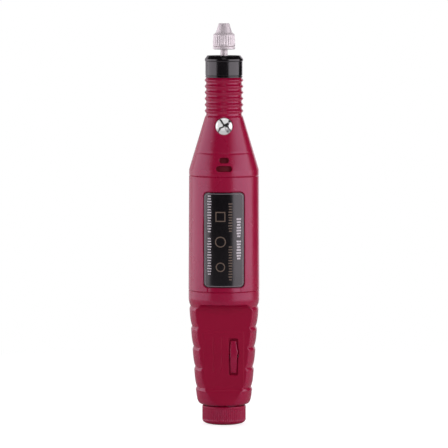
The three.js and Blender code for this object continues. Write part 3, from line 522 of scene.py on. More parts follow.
plastic("crimson_plastic", (0.45, 0.002, 0.049), 0.26, ior=1.65, sheen=(0.9, 0.74, 1))
# The recess's plastic is duller and rougher, and its colour a little darker as painted shade.
plastic("crimson_recess", (0.42, 0.001, 0.043), 0.4, ior=1.36, grain=0.000008)
# Painted light: a lighter crimson with a glow, lifting the shade in the pocket behind the slot.
plastic("crimson_pocket", (0.6, 0.004, 0.08), 0.5, glow=(0.035, 0.0005, 0.005))
# Painted shade and light: a far darker crimson for the shade behind the vents, with a faint painted
# glow.
plastic("crimson_baffle", (0.15, 0, 0.01), 0.6, glow=(0.012, 0, 0.001))
plastic("black_gloss", (0.003, 0.002, 0.003), 0.21, ior=1.72, grain=0.000001)
plastic("black_plastic", (0.02, 0.02, 0.021), 0.55, grain=0.00001)
plastic("white_plastic", (0.75, 0.73, 0.68), 0.45)
plastic("board_laminate", (0.02, 0.14, 0.06), 0.4)
plastic("wire_red", (0.4, 0.01, 0.01), 0.45)
plastic("wire_black", (0.015, 0.015, 0.015), 0.45)
plastic("magnet", (0.05, 0.05, 0.055), 0.7, grain=0.00002)
plastic("badge_print", (0.8, 0.78, 0.8), 0.4)
plastic("badge_dim_print", (0.2, 0.15, 0.11), 0.5)
plastic("badge_frame_print", (0.26, 0.23, 0.24), 0.4)
metal("satin_steel", (0.95, 0.9, 0.9), 0.5, 0.4, scratch=0.0000004)
metal("dark_steel", (0.42, 0.42, 0.43), 0.35)
metal("copper", (0.72, 0.32, 0.16), 0.3)
metal("brass", (0.78, 0.56, 0.22), 0.3)
felt("felt", (0.12, 0.115, 0.11))
chrome("button_chrome")


def dress_carried_nodes():
    """Each CAD node that stays in view takes its slot's material."""
    for part in frame["record"]["subparts"]:
        dress(frame["nodes"][part["node"]], part["material_slot"])


# ---- front housing and nose cap

def cone_radius(z):
    share = (CONE_TOP - z) / (CONE_TOP - SHOULDER_BEND)
    return CONE_TOP_R + share * (SHOULDER_BEND_R - CONE_TOP_R)


BORE_Z = (107.2, 109.6, WEB_FOOT)
BORE_R = (12.9, 12.8, cone_radius(WEB_FOOT) - WALL)


def vent_radius(z):
    return min(cone_radius(z), SHOULDER_R - 0.03)


def bore_radius(z):
    """The inside of the housing between its spigot and the bearing's web."""
    return np.interp(z, BORE_Z, BORE_R)


def make_front_housing():
    first = FIRST_RIB_Z - RIB_PITCH / 2
    corners = [
        (SHOULDER_R - 0.25, BARREL_TOP, 0), (SHOULDER_R - 0.02, BARREL_TOP + 0.25, 0.2),
        (SHOULDER_R, BARREL_TOP + 1.2, 0.3), (SHOULDER_R - 0.03, SHOULDER_Z, 2.0),
        (SHOULDER_BEND_R, SHOULDER_BEND, 2.0), (cone_radius(RING_FOOT), RING_FOOT, 0),
        (cone_radius(RING_LINE_Z) - RING_DEPTH, RING_LINE_Z, 0),
        (cone_radius(RING_TOP), RING_TOP, 0), (CONE_TOP_R, CONE_TOP, 0.4),
        (RIB_GROOVE_R + 0.05, first - 0.35, 0.3),
    ]
    # Short stretches keep the shading of the long faces true beside the ring line.
    outline = list(divided(rounded(corners)[:-1], 0.8, closed=False))
    for z in np.arange(first, NECK_TOP - 0.35, RIB_PITCH / 12):
        wave = 0.5 - 0.5 * cos(2 * pi * (z - first) / RIB_PITCH)
        outline.append((RIB_GROOVE_R + (RIB_CREST_R - RIB_GROOVE_R) * wave ** 1.3, z))
    inside = [
        (RIB_GROOVE_R + 0.1, NECK_TOP - 0.25), (RIB_GROOVE_R - 0.05, NECK_TOP),
        (NECK_BORE_R, NECK_TOP), (NECK_BORE_R, CONE_TOP + 1),
        (cone_radius(WEB_TOP) - WALL, WEB_TOP), (WEB_BORE_R, WEB_TOP),
        (WEB_BORE_R, WEB_TOP - 1), (BEARING_SEAT_R, WEB_TOP - 1), (BEARING_SEAT_R, WEB_FOOT),
        *zip(BORE_R[::-1], BORE_Z[::-1]),
        (SPIGOT_BORE_R, BARREL_TOP), (SPIGOT_BORE_R, SPIGOT_FOOT), (SPIGOT_R, SPIGOT_FOOT),
        (SPIGOT_R, BARREL_TOP),
    ]
    housing = lathe("front_housing_shell", np.array(outline + inside), SIDES)
    for z, width, height in VENTS:
        points, normals = stadium(width / 2, height / 2, height / 2 - 0.05)
        boolean(housing, flared_tool(points, normals, (0, z), turned_front(vent_radius), 0.22, 4))
    bore = radius_of("lock_button") + 0.12
    points, normals = stadium(bore, bore, bore - 0.001, steps=16)
    middle = (0, centre("lock_button", Z))
    boolean(housing, flared_tool(points, normals, middle, turned_front(cone_radius), 0.3, 3))
    put(housing, "housing", "crimson_plastic", "front_housing")


def make_vent_baffle():
    """The thin wall behind the vent slots, which keeps dust off the motor."""
    half_angle, thickness, clearance = 21, 0.4, 0.03
    heights = np.array([107.5, BORE_Z[1], 114.1])
    wall = bore_radius(heights) - clearance
    inner = list(zip(wall[::-1] - thickness, heights[::-1]))
    angles = np.radians(np.linspace(-half_angle, half_angle, 29))
    baffle = shell("vent_baffle", angles, heights, lambda angle, z: np.interp(z, heights, wall), inner)
    # Its look is a far darker crimson, painted shade behind the vents, with a faint painted glow.
    put(baffle, "housing", "crimson_plastic", look="crimson_baffle")


def make_nose_cap():
    corners = [
        (BEARING_SEAT_R, CAP_FOOT, 0), (NECK_BORE_R - 0.03, CAP_FOOT, 0.1),
        (NECK_BORE_R - 0.03, NECK_TOP, 0), (CAP_R - 0.25, NECK_TOP, 0.2),
        (CAP_R - 0.25, NECK_TOP + 0.55, 0.1), (CAP_R - 0.4, NECK_TOP + 0.7, 0.1),
        (CAP_R - 0.4, NECK_TOP + 0.9, 0.1), (CAP_R - 0.25, NECK_TOP + 1.05, 0.1),
        (CAP_R - 0.25, CAP_TOP - 2.5, 0.2), (CAP_R, CAP_TOP - 2.2, 0.25),
        (CAP_R, CAP_TOP - 1.45, 0.3), (CAP_R - 1.05, CAP_TOP, 0.35), (2.5, CAP_TOP, 0.2),
        (2.3, CAP_TOP - 0.4, 0.1), (2.3, CAP_TOP - 1.5, 0), (4.5, CAP_TOP - 1.5, 0),
        (4.5, CAP_TOP - 3.3, 0), (BEARING_SEAT_R, CAP_TOP - 3.3, 0),
    ]
    turned("nose_cap_shell", corners, "housing", "black_gloss", "nose_cap", SIDES)


def make_dust_seal():
    low, high = span("dust_seal", Z)
    inner = SPINDLE_R + 0.05
    outer = radius_of("dust_seal")
    corners = [(inner, low, 0), (outer, low, 0), (outer, high, 0.2), (inner, high, 0.3)]
    turned("dust_seal_felt", corners, "housing", "felt", "dust_seal", step=0.4)


# ---- barrel and rating plate

def barrel_radius(z):
    top_r = SHOULDER_R + 0.02
    return BARREL_R + (z - GRIP_TOP) / (BARREL_TOP - GRIP_TOP) * (top_r - BARREL_R)


def badge_distance(x, z):
    """How far inside the rating plate's rounded outline a point is, in the front view."""
    dx = np.abs(x) - (BADGE_HALF_WIDTH - BADGE_CORNER_R)
    dz = np.abs(z - BADGE_MIDDLE) - (BADGE_HALF_HEIGHT - BADGE_CORNER_R)
    outside = np.hypot(np.maximum(dx, 0), np.maximum(dz, 0))
    return BADGE_CORNER_R - outside - np.minimum(np.maximum(dx, dz), 0)


def clustered(low, high, coarse, fine, centres, reach):
    """Grid lines from low to high, fine within reach of each centre and coarse elsewhere."""
    lines = [low]
    while lines[-1] < high:
        near = any(abs(lines[-1] - centre) < reach for centre in centres)
        lines.append(lines[-1] + (fine if near else coarse))
    lines[-1] = high
    return np.array(lines)


def make_middle_barrel():
    side = asin(BADGE_HALF_WIDTH / BARREL_R)
    angles = clustered(-pi, pi, 0.035, 0.009, (-side + 0.06, side - 0.06), 0.12)[:-1]
    ends = (BADGE_BOTTOM + 0.8, BADGE_TOP - 0.8)
    heights = clustered(GRIP_TOP + 0.3, BARREL_TOP - 0.3, 1.5, 0.14, ends, 1.8)
    rim = np.array((0.02, 0.08, 0.17))
    heights = np.concatenate([GRIP_TOP + rim, heights, BARREL_TOP - rim[::-1]])

    def outer(angle, z):
        radius = barrel_radius(z)
        x = radius * np.sin(angle)
        front = np.cos(angle) > 0
        sunk = BADGE_RECESS * smoothstep(-0.02, 0.22, badge_distance(x, z)) * front
        worn = 0.25 * (1 - smoothstep(0, 0.3, np.minimum(z - GRIP_TOP, BARREL_TOP - z)))
        return radius - sunk - worn

    bore = radius_of("motor_mount") + 0.1
    ledge = span("motor_mount", Z)[0] - 0.05
    can = radius_of("motor_can") + 0.15
    inner = [
        (bore, BARREL_TOP - 0.01), (bore, ledge), (can, ledge), (can, ledge - 4),
        (13.2, ledge - 5), (13.2, GRIP_TOP + 2.3), (10.8, GRIP_TOP + 1.7), (10.8, BARREL_FOOT),
        (12.1, BARREL_FOOT), (12.1, GRIP_TOP),
    ]
    barrel = shell("middle_barrel_shell", angles, heights, outer, inner)
    put(barrel, "housing", "crimson_plastic", "middle_barrel")


def on_barrel(x, z, depth):
    """A point in the front view, laid on the barrel's surface at a depth."""
    radius = barrel_radius(z) - depth
    return x, -sqrt(radius * radius - x * x), z


def squared(u, v, inset):
    """Square coordinates from -1 to 1 carried to the rating plate's rounded rectangle."""
    corner = BADGE_CORNER_R - BADGE_GAP - inset
    width = BADGE_HALF_WIDTH - BADGE_GAP - inset
    height = BADGE_HALF_HEIGHT - BADGE_GAP - inset
    x, z = u * width, v * height
    over_x, over_z = abs(x) - (width - corner), abs(z) - (height - corner)
    if over_x > 0 and over_z > 0:
        stretch = max(over_x, over_z) / hypot(over_x, over_z)
        x = copysign(width - corner + over_x * stretch, x)
        z = copysign(height - corner + over_z * stretch, z)
    return x, BADGE_MIDDLE + z


def make_badge():
    """The rating plate: a face and a back that follow the barrel, joined by a domed edge."""
    columns = np.linspace(-1, 1, 61)
    rows = np.linspace(-1, 1, 91)
    grid = [(u, v) for v in rows for u in columns]
    wide, high = len(columns), len(rows)
    cells = np.arange(wide * high).reshape(high, wide)
    border = [*cells[0], *cells[1:, -1], *cells[-1, -2::-1], *cells[-2:0:-1, 0]]
    points = []
    for inset, depth in ((0.3, BADGE_FACE_DEPTH), (0.0, BADGE_RECESS - 0.03)):
        points += [on_barrel(*squared(u, v, inset), depth) for u, v in grid]
    face = grid_faces(high, wide, closed_columns=False)
    faces = face + [[index + len(grid) for index in corners] for corners in face]
    edge = border
    for inset, depth in ((0.12, 0.16), (0.03, 0.26)):
        ring = range(len(points), len(points) + len(border))
        points += [on_barrel(*squared(*grid[index], inset), depth) for index in border]
        join_loops(faces, edge, ring)
        edge = ring
    join_loops(faces, edge, [len(grid) + index for index in border])
    plate = mesh_object("badge_plate", points, faces)
    put(plate, "housing", "black_gloss", "badge")


def rectangle_loop(x, z, width, height):
    """A rectangle's outline, its width divided so that it can follow the barrel."""
    across = np.linspace(-width / 2, width / 2, 5)
    low = [(x + step, z - height / 2) for step in across]
    high = [(x + step, z + height / 2) for step in across[::-1]]
    return low + high


def polygon_loop(x, z, radius, sides):
    return [(x + radius * cos(a), z + radius * sin(a)) for a in circle_angles(sides)]


class Print:
    """Thin raised marks on the rating plate."""

    def __init__(self):
        self.points = []
        self.faces = []

    def loop(self, outline, height):
        start = len(self.points)
        self.points += [on_barrel(x, z, BADGE_FACE_DEPTH - height) for x, z in outline]
        return list(range(start, len(self.points)))

    def block(self, outline):
        face, back = self.loop(outline, 0.04), self.loop(outline, -0.02)
        self.faces += [face, back]
        join_loops(self.faces, face, back)

    def band(self, outer, inner):
        loops = [self.loop(outer, 0.04), self.loop(outer, -0.02)]
        loops += [self.loop(inner, -0.02), self.loop(inner, 0.04)]
        for k in range(4):
            join_loops(self.faces, loops[k], loops[(k + 1) % 4])

    def row(self, x, low, high, width, length, pitch):
        """Short bars in place of a line of lettering."""
        for i, z in enumerate(np.arange(low + length / 2, high, pitch)):
            share = 0.7 + 0.3 * abs(sin(2.4 * i))
            self.block(rectangle_loop(x, z, width * share, length))

    def finish(self, name, look):
        put(mesh_object(name, self.points, self.faces), "housing", "black_gloss", look=look)


def badge_frame(inset):
    """The plate's outline drawn in by an inset."""
    sizes = (BADGE_HALF_WIDTH, BADGE_HALF_HEIGHT, BADGE_CORNER_R)
    points = stadium(*[size - inset for size in sizes])[0]
    return divided(points + (0, BADGE_MIDDLE), 0.8)


def make_badge_print():
    """Generic marks in place of the maker's print: rows of bars, two rings, a square and a frame."""
    bright = Print()
    bright.row(-6.2, 64.6, 80.5, 1.7, 0.5, 1.15)
    bright.row(-6.2, 82.5, 97.7, 1.7, 0.5, 1.15)
    bright.row(6.2, 71.0, 78.6, 1.9, 0.75, 1.2)
    bright.row(6.2, 80.4, 88.8, 1.9, 0.75, 1.2)
    bright.finish("badge_print_bright", "badge_print")
    frame_line = Print()
    frame_line.band(badge_frame(0.85), badge_frame(1.15))
    frame_line.finish("badge_print_frame", "badge_frame_print")
    dim = Print()
    dim.row(2.7, 62.3, 76.4, 1.7, 0.5, 1.15)
    dim.row(2.7, 82.7, 95.5, 1.7, 0.5, 1.15)
    dim.band(polygon_loop(-1.5, 67.8, 2.0, 24), polygon_loop(-1.5, 67.8, 1.55, 24))
    dim.band(polygon_loop(-1.5, 78.4, 2.3, 24), polygon_loop(-1.5, 78.4, 1.85, 24))
    dim.band(rectangle_loop(-1.5, 89.0, 4.2, 4.2), rectangle_loop(-1.5, 89.0, 3.3, 3.3))
    dim.finish("badge_print_dim", "badge_dim_print")


# ---- rear grip

GRIP_SEAT = BARREL_FOOT - 0.2
POT_STEP = span("speed_pot_body", Z)[0] - 0.1
# The grip's rounded foot, and the ramp by which the recess runs out of it.
TAIL_Z = (*(GRIP_BOTTOM + np.array([0, 0.15, 0.5, 1.1, 2])), 12, 14.2)
TAIL_R = (9.75, 10.15, 10.62, 11.05, 11.35, 11.65, 11.87)
RAMP_Z = (9, 11, 12.7, 14.4, 15.4, 16.5)
RAMP_Y = (-10.5, -10.15, -9.85, -9.3, -8.6, RECESS_Y)


def notch_line(z):
    lowest = TOP_NOTCH_Z - (NOTCH_COUNT - 1) * NOTCH_PITCH
    return NOTCH_LINE_R + (z - lowest) * NOTCH_LINE_SLOPE


def grip_bore(z):
    return 9.5 + (z - 12) * 0.075


def grip_radius(z):
    """The scalloped outline: each notch has a crisp crest below it that curves in to the next."""
    rise = 0.17
    share = np.mod(TOP_NOTCH_Z - z, NOTCH_PITCH) / NOTCH_PITCH
    climb = 1 - (1 - np.clip(share / rise, 0, 1)) ** 2
    fall = 1 - np.clip((share - rise) / (1 - rise), 0, 1) ** 4
    scalloped = notch_line(z) + CREST_HEIGHT * np.where(share < rise, climb, fall)
    above = np.clip((z - TOP_NOTCH_Z) / 3.6, 0, 1)
    foot = notch_line(TOP_NOTCH_Z)
    collar = foot + (BARREL_R - 0.03 - foot) * (1 - (1 - above) ** 2)
    radius = np.where(z > TOP_NOTCH_Z, collar, scalloped)
    radius = np.where(z < TAIL_Z[-1], np.interp(z, TAIL_Z, TAIL_R), radius)
    return radius - 0.25 * smoothstep(GRIP_TOP - 0.3, GRIP_TOP, z)


def recess_floor(z):
    """The y of the recess's floor: flat, with a rounded end wall at its top, and at its foot a
    ramp that runs out of the grip."""
    climb = np.clip((z - RECESS_TOP) / RECESS_FILLET + 1, 0, 1)
    floor = np.interp(z, RAMP_Z, RAMP_Y) - RECESS_FILLET * (1 - np.sqrt(1 - climb * climb))
    return np.where(z > RECESS_TOP, -99.0, floor)


def bar(x, z, left, right, bottom, top):
    """A softly edged rectangle, 1 inside and 0 outside."""
    inside = np.minimum(np.minimum(x - left, right - x), np.minimum(z - bottom, top - z))
    return smoothstep(-0.12, 0.12, inside)


def recess_marks(x, z):
    """Moulded relief on the flat: a shallow panel round the slot, and two fine lines beside it."""
    height = PANEL_HEIGHT * bar(x, z, -8.6, 8.3, 15.6, 39.7)
    bend = -0.9 - 1.1 * np.clip((27.5 - z) / 5, 0, 1) ** 2
    for line in (bend, -4.4):
        height = height - 0.08 * bar(x - line, z, -0.2, 0.2, 22.5, 37.8)
    return height


def grip_outer(angle, z):
    facing = np.maximum(np.cos(angle), 0.05)
    floor = recess_floor(z)
    x = -floor * np.sin(angle) / facing
    cut = np.where(np.cos(angle) > 0.05, (recess_marks(x, z) - floor) / facing, 99)
    return soft_min(grip_radius(z), cut, 0.2 + 1.2 * smoothstep(-15, -11, -z))


def recess_bore(angle, z):
    """Where the grip's bore meets the wall behind the recess."""
    wall_y = np.where(z > POT_STEP, RECESS_Y + RECESS_WALL, FOOT_WALL_Y)
    wall_y = np.where(z > GRIP_SEAT + 0.01, -99, wall_y)
    return -wall_y / np.maximum(np.cos(angle), 0.05)


def grip_half(name, start, end, step, inner_limit=None):
    angles = np.linspace(start, end, max(2, round((end - start) / step)))
    heights = np.concatenate([
        np.linspace(GRIP_BOTTOM, GRIP_BOTTOM + 2, 12)[:-1],
        np.arange(GRIP_BOTTOM + 2, RECESS_TOP - RECESS_FILLET, 0.22),
        RECESS_TOP - RECESS_FILLET * (1 - np.sin(np.linspace(0, pi / 2, 20)[1:-1])),
        RECESS_TOP + np.array([-0.005, 0.005, 0.05, 0.15, 0.3]),
        np.arange(RECESS_TOP + 0.5, GRIP_TOP - 0.3, 0.22),
        np.linspace(GRIP_TOP - 0.3, GRIP_TOP - 0.01, 4),
    ])
    spigot_bore_r = 12.13
    hub_r = 7.2
    flange_top = GRIP_BOTTOM + 1.9
    inner = [
        (spigot_bore_r, GRIP_TOP - 0.01), (spigot_bore_r, GRIP_SEAT + 0.02),
        (grip_bore(GRIP_SEAT), GRIP_SEAT), (grip_bore(POT_STEP), POT_STEP + 0.01),
        (grip_bore(POT_STEP), POT_STEP - 0.01), (grip_bore(flange_top), flange_top),
        (hub_r, flange_top), (hub_r, GRIP_BOTTOM),
    ]
    return shell(name, angles, heights, grip_outer, inner, inner_limit)


def mark_recess(thing):
    """Gives the recess its own, duller finish, its colour a little darker as painted shade."""
    thing.data.materials.append(MATERIALS["crimson_recess"])
    for polygon in thing.data.polygons:
        x, y, z = polygon.center / MM
        on_floor = abs(y - recess_floor(z)) < 0.35
        if on_floor and hypot(x, y) < grip_radius(z) - 0.15:
            polygon.material_index = 1


def make_grip():
    """The grip's halves, parted by a fine seam at each side."""
    seam = 0.003
    quarter = pi / 2
    front = grip_half("grip_front_half", seam - quarter, quarter - seam, 0.009, recess_bore)
    boolean(front, slot_tool())
    put(front, "housing", "crimson_plastic", "grip_front_shell")
    mark_recess(front)

    back = grip_half("grip_back_half", quarter + seam, 3 * quarter - seam, 0.022)
    for screw in GRIP_SCREWS:
        boolean(back, counterbore(screw))
    put(back, "housing", "crimson_plastic", "grip_back_shell")


def bulge(z):
    """How far the slot and the rocker swell to the right at a height."""
    return 0.4 * exp(-(((z - SLOT_Z - 2) / 1.6) ** 2))


def slot_tool():
    points = stadium(SLOT_WIDTH / 2, SLOT_HEIGHT / 2, 0.7, steps=6)[0]
    outline = [(x + (bulge(SLOT_Z + z) if x > 0 else 0), z) for x, z in divided(points, 0.5)]
    middle, depth = (SLOT_X, SLOT_Z), RECESS_WALL + 0.3
    return flared_tool(outline, outward_normals(outline), middle, recess_front, 0.2, depth)


def outward_normals(outline):
    """Outward normals of a closed anticlockwise outline."""
    loop = np.array(outline)
    along = np.roll(loop, -1, axis=0) - np.roll(loop, 1, axis=0)
    normals = np.stack([along[:, 1], -along[:, 0]], axis=1)
    return normals / np.linalg.norm(normals, axis=1)[:, None]


def recess_front(x, z, below):
    return RECESS_Y - PANEL_HEIGHT + below


def make_slot_pocket():
    """Walls behind the slot, and a floor with a hole for the rocker's fork."""
    front = RECESS_Y + RECESS_WALL - 0.05
    wall = 0.4
    half_width, half_height = SLOT_WIDTH / 2 + 0.3, SLOT_HEIGHT / 2 + 0.1
    hole_width, hole_height = 1.35, 2.9
    loops = (
        (front, half_width, half_height), (front, half_width + wall, half_height + wall),
        (POCKET_FLOOR_Y, half_width + wall, half_height + wall),
        (POCKET_FLOOR_Y, hole_width, hole_height),
        (POCKET_FLOOR_Y - wall, hole_width, hole_height),
        (POCKET_FLOOR_Y - wall, half_width, half_height),
    )
    points = []
    for y, across, along in loops:
        for side_x, side_z in ((-1, -1), (1, -1), (1, 1), (-1, 1)):
            points.append((SLOT_X + side_x * across, y, SLOT_Z + side_z * along))
    pocket = mesh_object("slot_pocket", points, grid_faces(len(loops), 4, closed_rows=True))
    # Its look is painted light: a lighter crimson that glows in the shade behind the slot.
    put(pocket, "housing", "crimson_plastic", look="crimson_pocket")


def counterbore(screw):
    clearance, head_height, outside = 0.15, 1.5, 30
    centre_x = centre(screw, X)
    head_r = radius_of(screw) - centre_x + clearance
    foot = span(screw, Y)[1] - head_height
    outline = np.array([(0, foot), (head_r, foot), (head_r, outside), (0, outside)], float)
    return lathe("tool", outline, 64, matrix=along_y(centre(screw, Z), centre_x))


def make_grip_screw(node):
    """A pan-head screw with a cross recess, driven from the back."""
    centre_x, centre_z = centre(node, X), centre(node, Z)
    head_r = radius_of(node) - centre_x
    tip, top = span(node, Y)
    under = top - 1.4
    shank = 0.95
    corners = [
        (0, tip, 0), (0.3, tip, 0), (shank, tip + 1.2, 0.2), (shank, under, 0),
        (head_r, under, 0.15), (head_r, top - 0.6, 0.5), (head_r * 0.6, top, 0.5), (0, top, 0),
    ]
    thread_pitch = 0.8

    def thread(radius, y, angle):
        wave = 0.5 + 0.5 * np.cos(2 * pi * (y / thread_pitch - angle / (2 * pi)))
        threaded = (radius > 0.5) & (radius < 1.0) & (y < under - 1)
        return radius - 0.22 * wave * threaded

    outline = divided(rounded(corners), 0.2, closed=False)
    screw = lathe(f"{node}_head", outline, 48, warp=thread, matrix=along_y(centre_z, centre_x))
    for turn in (0, pi / 2):
        boolean(screw, cross_tool(centre_x, centre_z, top, head_r * 0.62, turn))
    put(screw, "housing", "dark_steel", node)


def cross_tool(centre_x, centre_z, top, reach, turn):
    """One wing of a cross recess: a wedge that narrows as it goes in."""
    depth, half = 0.8, 0.28
    loops = []
    for y, length in ((top + 0.5, reach), (top - depth, reach * 0.45)):
        loops.append([])
        for along, across in ((-length, -half), (length, -half), (length, half), (-length, half)):
            x = along * cos(turn) - across * sin(turn)
            z = along * sin(turn) + across * cos(turn)
            loops[-1].append((centre_x + x, y, centre_z + z))
    return loft("tool", loops)


# ---- chuck and spindle

def make_spindle():
    low, high = span("spindle_shaft", Z)
    corners = [(0, low, 0), (SPINDLE_R, low, 0.2), (SPINDLE_R, high, 0.2), (0, high, 0)]
    turned("spindle_rod", corners, "spindle", "satin_steel", "spindle_shaft", 64)


MOUTH_R = 1.9
MOUTH_Z = NOSE_TOP - 0.8
JAW_CONE_SLOPE = 0.325
SLEEVE_BORE_R = 3.85
JAW_CONE_FOOT = MOUTH_Z - (SLEEVE_BORE_R - MOUTH_R) / JAW_CONE_SLOPE
NOSE_BASE = 165.6
SKIRT_TOP_R = 4.5


def make_chuck_sleeve():
    corners = [
        (SLEEVE_BORE_R, SLEEVE_FOOT, 0.05), (SLEEVE_R - 0.4, SLEEVE_FOOT, 0.15),
        (SLEEVE_R, SLEEVE_FOOT + 0.4, 0.2), (SKIRT_TOP_R, NOSE_BASE - 0.4, 0.2),
        (SKIRT_TOP_R - 0.3, NOSE_BASE - 0.05, 0.1), (4.0, NOSE_BASE, 0.05),
        (3.85, NOSE_BASE + 0.25, 0.1), (3.42, NOSE_BASE + 0.5, 0.1),
        (2.38, NOSE_TOP - 0.5, 0.3), (2.2, NOSE_TOP, 0.2), (MOUTH_R, NOSE_TOP, 0.1),
        (MOUTH_R, MOUTH_Z, 0.05), (SLEEVE_BORE_R, JAW_CONE_FOOT, 0.05),
    ]
    foot, top = SLEEVE_FOOT + 0.7, NOSE_BASE - 0.7

    def flutes(radius, z, angle):
        wave = (0.5 + 0.5 * np.cos(SLEEVE_FLUTES * angle)) ** 1.2
        window = smoothstep(foot - 0.2, foot + 0.2, z) * smoothstep(-top - 0.2, -top + 0.2, -z)
        outside = smoothstep(4.15, 4.4, radius)
        return radius - 0.22 * wave * window * outside

    turned(
        "chuck_sleeve_skin", corners, "sleeve", "satin_steel", "chuck_sleeve",
        sides=SLEEVE_FLUTES * 12, step=0.3, warp=flutes,
    )


def make_chuck_body():
    shaft_top = span("spindle_shaft", Z)[1] + 0.03
    bit_bore_r = 1.3
    core_r = SLEEVE_BORE_R - 0.08
    foot_r = SLEEVE_R - 0.1
    shaft_r = SPINDLE_R + 0.03
    corners = [
        (0, shaft_top, 0), (shaft_r, shaft_top, 0), (shaft_r, CHUCK_FOOT, 0.1),
        (foot_r - 0.4, CHUCK_FOOT, 0.15), (foot_r, CHUCK_FOOT + 0.3, 0.15),
        (foot_r, SLEEVE_FOOT - 0.1, 0.1), (core_r, SLEEVE_FOOT - 0.1, 0),
        (core_r, JAW_CONE_FOOT, 0),
        (jaw_cone_radius(CHUCK_CORE_TOP) - 0.1, CHUCK_CORE_TOP, 0.1),
        (bit_bore_r, CHUCK_CORE_TOP, 0.1), (bit_bore_r, shaft_top + 0.8, 0),
        (0, shaft_top + 0.8, 0),
    ]
    core = lathe("chuck_core", rounded(corners), 96)
    half, reach = span("chuck_jaw_1", Y)[1] + 0.05, 9
    section = ((0, -half), (reach, -half), (reach, half), (0, half))
    slot = [[(x, y, z) for x, y in section] for z in (JAW_CONE_FOOT - 0.2, NOSE_TOP + 5)]
    for angle in circle_angles(3):
        boolean(core, loft("tool", slot, Matrix.Rotation(angle, 4, "Z")))
    put(core, "spindle", "satin_steel", "chuck_body")


def jaw_cone_radius(z):
    return MOUTH_R + (MOUTH_Z - z) * JAW_CONE_SLOPE


def make_jaws():
    """The jaws in their CAD shape, with softened edges."""
    for name in ("jaw_1", "jaw_2", "jaw_3"):
        node = frame["nodes"][f"chuck_{name}"]
        jaw = bmesh.new()
        jaw.from_mesh(node.data)
        jaw.transform(node.matrix_world)
        bmesh.ops.remove_doubles(jaw, verts=jaw.verts, dist=0.001 * MM)
        sharp = [edge for edge in jaw.edges if edge.calc_face_angle(0) > 0.5]
        bmesh.ops.bevel(jaw, geom=sharp, offset=0.06 * MM, segments=2, affect="EDGES", profile=0.5)
        mesh = bpy.data.meshes.new(f"{name}_soft")
        jaw.to_mesh(mesh)
        jaw.free()
        put(place(mesh), name, "satin_steel", f"chuck_{name}")


# ---- lock button and rocker

def make_lock_button():
    front, tip = span("lock_button", Y)
    half = radius_of("lock_button")
    face = front + 1.15
    pin = 1.0
    skirt = face + 1.5
    collar = face + 4.9
    corners = [(0, front, 0)]
    for k in range(1, 9):
        turn = pi / 2 * k / 9
        corners.append((half * sin(turn), face + (front - face) * cos(turn), 0))
    corners += [
        (half, face, 0.1), (half, skirt, 0.1), (half - 0.6, skirt, 0),
        (half - 0.6, face + 0.6, 0), (pin, face + 0.6, 0), (pin, collar, 0), (1.5, collar, 0),
        (1.5, collar + 0.4, 0), (pin, collar + 0.4, 0), (pin, tip, 0.2), (0, tip, 0),
    ]
    matrix = along_y(centre("lock_button", Z))
    turned("lock_button_dome", corners, "lock", "button_chrome", "lock_button", matrix=matrix)


def make_lock_spring():
    """The coil that lifts the button."""
    front, seat = span("lock_spring", Y)
    centre_z = centre("lock_spring", Z)
    length = seat - front
    wire_r = 0.16
    coil_r = radius_of("lock_spring") - wire_r
    turns, steps, sides = 3, 96, 12
    share = np.linspace(0, 1, steps + 1)[:, None]
    angle = 2 * pi * turns * share
    radial = np.cos(angle) * (1, 0, 0) + np.sin(angle) * (0, 0, 1)
    rise = (length - 2 * wire_r) * share * (0, 1, 0)
    middle = coil_r * radial + rise + (0, front + wire_r, centre_z)
    along = np.gradient(middle, axis=0)
    along /= np.linalg.norm(along, axis=1)[:, None]
    across = np.cross(along, radial)
    turn = circle_angles(sides)[None, :, None]
    wire = np.cos(turn) * radial[:, None] + np.sin(turn) * across[:, None]
    spring = loft("lock_spring_coil", (middle[:, None] + wire_r * wire).tolist())
    put(spring, "housing", "dark_steel", "lock_spring")
    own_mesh(spring)


def make_rocker():
    """A crowned rocker that narrows to its ends, on a boss with the fork behind it."""
    left, right = span("direction_rocker", X)
    front, fork_end = span("direction_rocker", Y)
    bottom, top = span("direction_rocker", Z)
    middle, half_height = (bottom + top) / 2, (top - bottom) / 2
    half_width = (right - left) / 2
    pivot_y = centre("rocker_pin", Y)
    sections = []
    for share in np.linspace(-1, 1, 81):
        width = half_width * (0.82 + 0.18 * sqrt(1 - share * share * 0.95))
        crown = front + (1 - cos(share * pi / 2)) * 0.9
        z = middle + half_height * share
        sections.append(rocker_section(width, crown + 0.1, pivot_y - 0.75, z))
    pad = loft("direction_rocker_pad", sections)
    prong = [(pivot_y - 1.0, 5.6), (pivot_y - 0.3, 2), (fork_end, 2), (fork_end, 1.02)]
    prong.append((pivot_y + 1.5, 1.02))
    fork = [(y, middle - z) for y, z in prong] + [(y, middle + z) for y, z in prong[::-1]]
    boss = polygon_loop(pivot_y, middle, 1.1, 32)
    boolean(pad, behind_rocker(fork, half_width * 0.8), "UNION")
    boolean(pad, behind_rocker(boss, SLOT_WIDTH / 2 - 0.03), "UNION")
    put(pad, "rocker", "crimson_plastic", "direction_rocker")


def rocker_section(half_width, front, back, z):
    """A slice of the rocker: square at its back, rounded at its front, swollen to the right."""
    corner = min(0.4, half_width * 0.6)
    centre_x = centre("direction_rocker", X)
    left, right = centre_x - half_width, centre_x + half_width + bulge(z)
    turns = [pi / 2 * k / 6 for k in range(7)]
    points = [(left, back, z)]
    for side, inward, order in ((left, 1, turns), (right, -1, turns[::-1])):
        for turn in order:
            x = side + inward * corner * (1 - cos(turn))
            points.append((x, front + corner * (1 - sin(turn)), z))
    points.append((right, back, z))
    return points


def behind_rocker(outline, half_width):
    """A (y, z) outline carried along X to each side of the rocker's middle."""
    centre_x = centre("direction_rocker", X)
    ends = (centre_x - half_width, centre_x + half_width)
    return loft("tool", [[(x, y, z) for y, z in outline] for x in ends])


# ---- speed dial and power socket

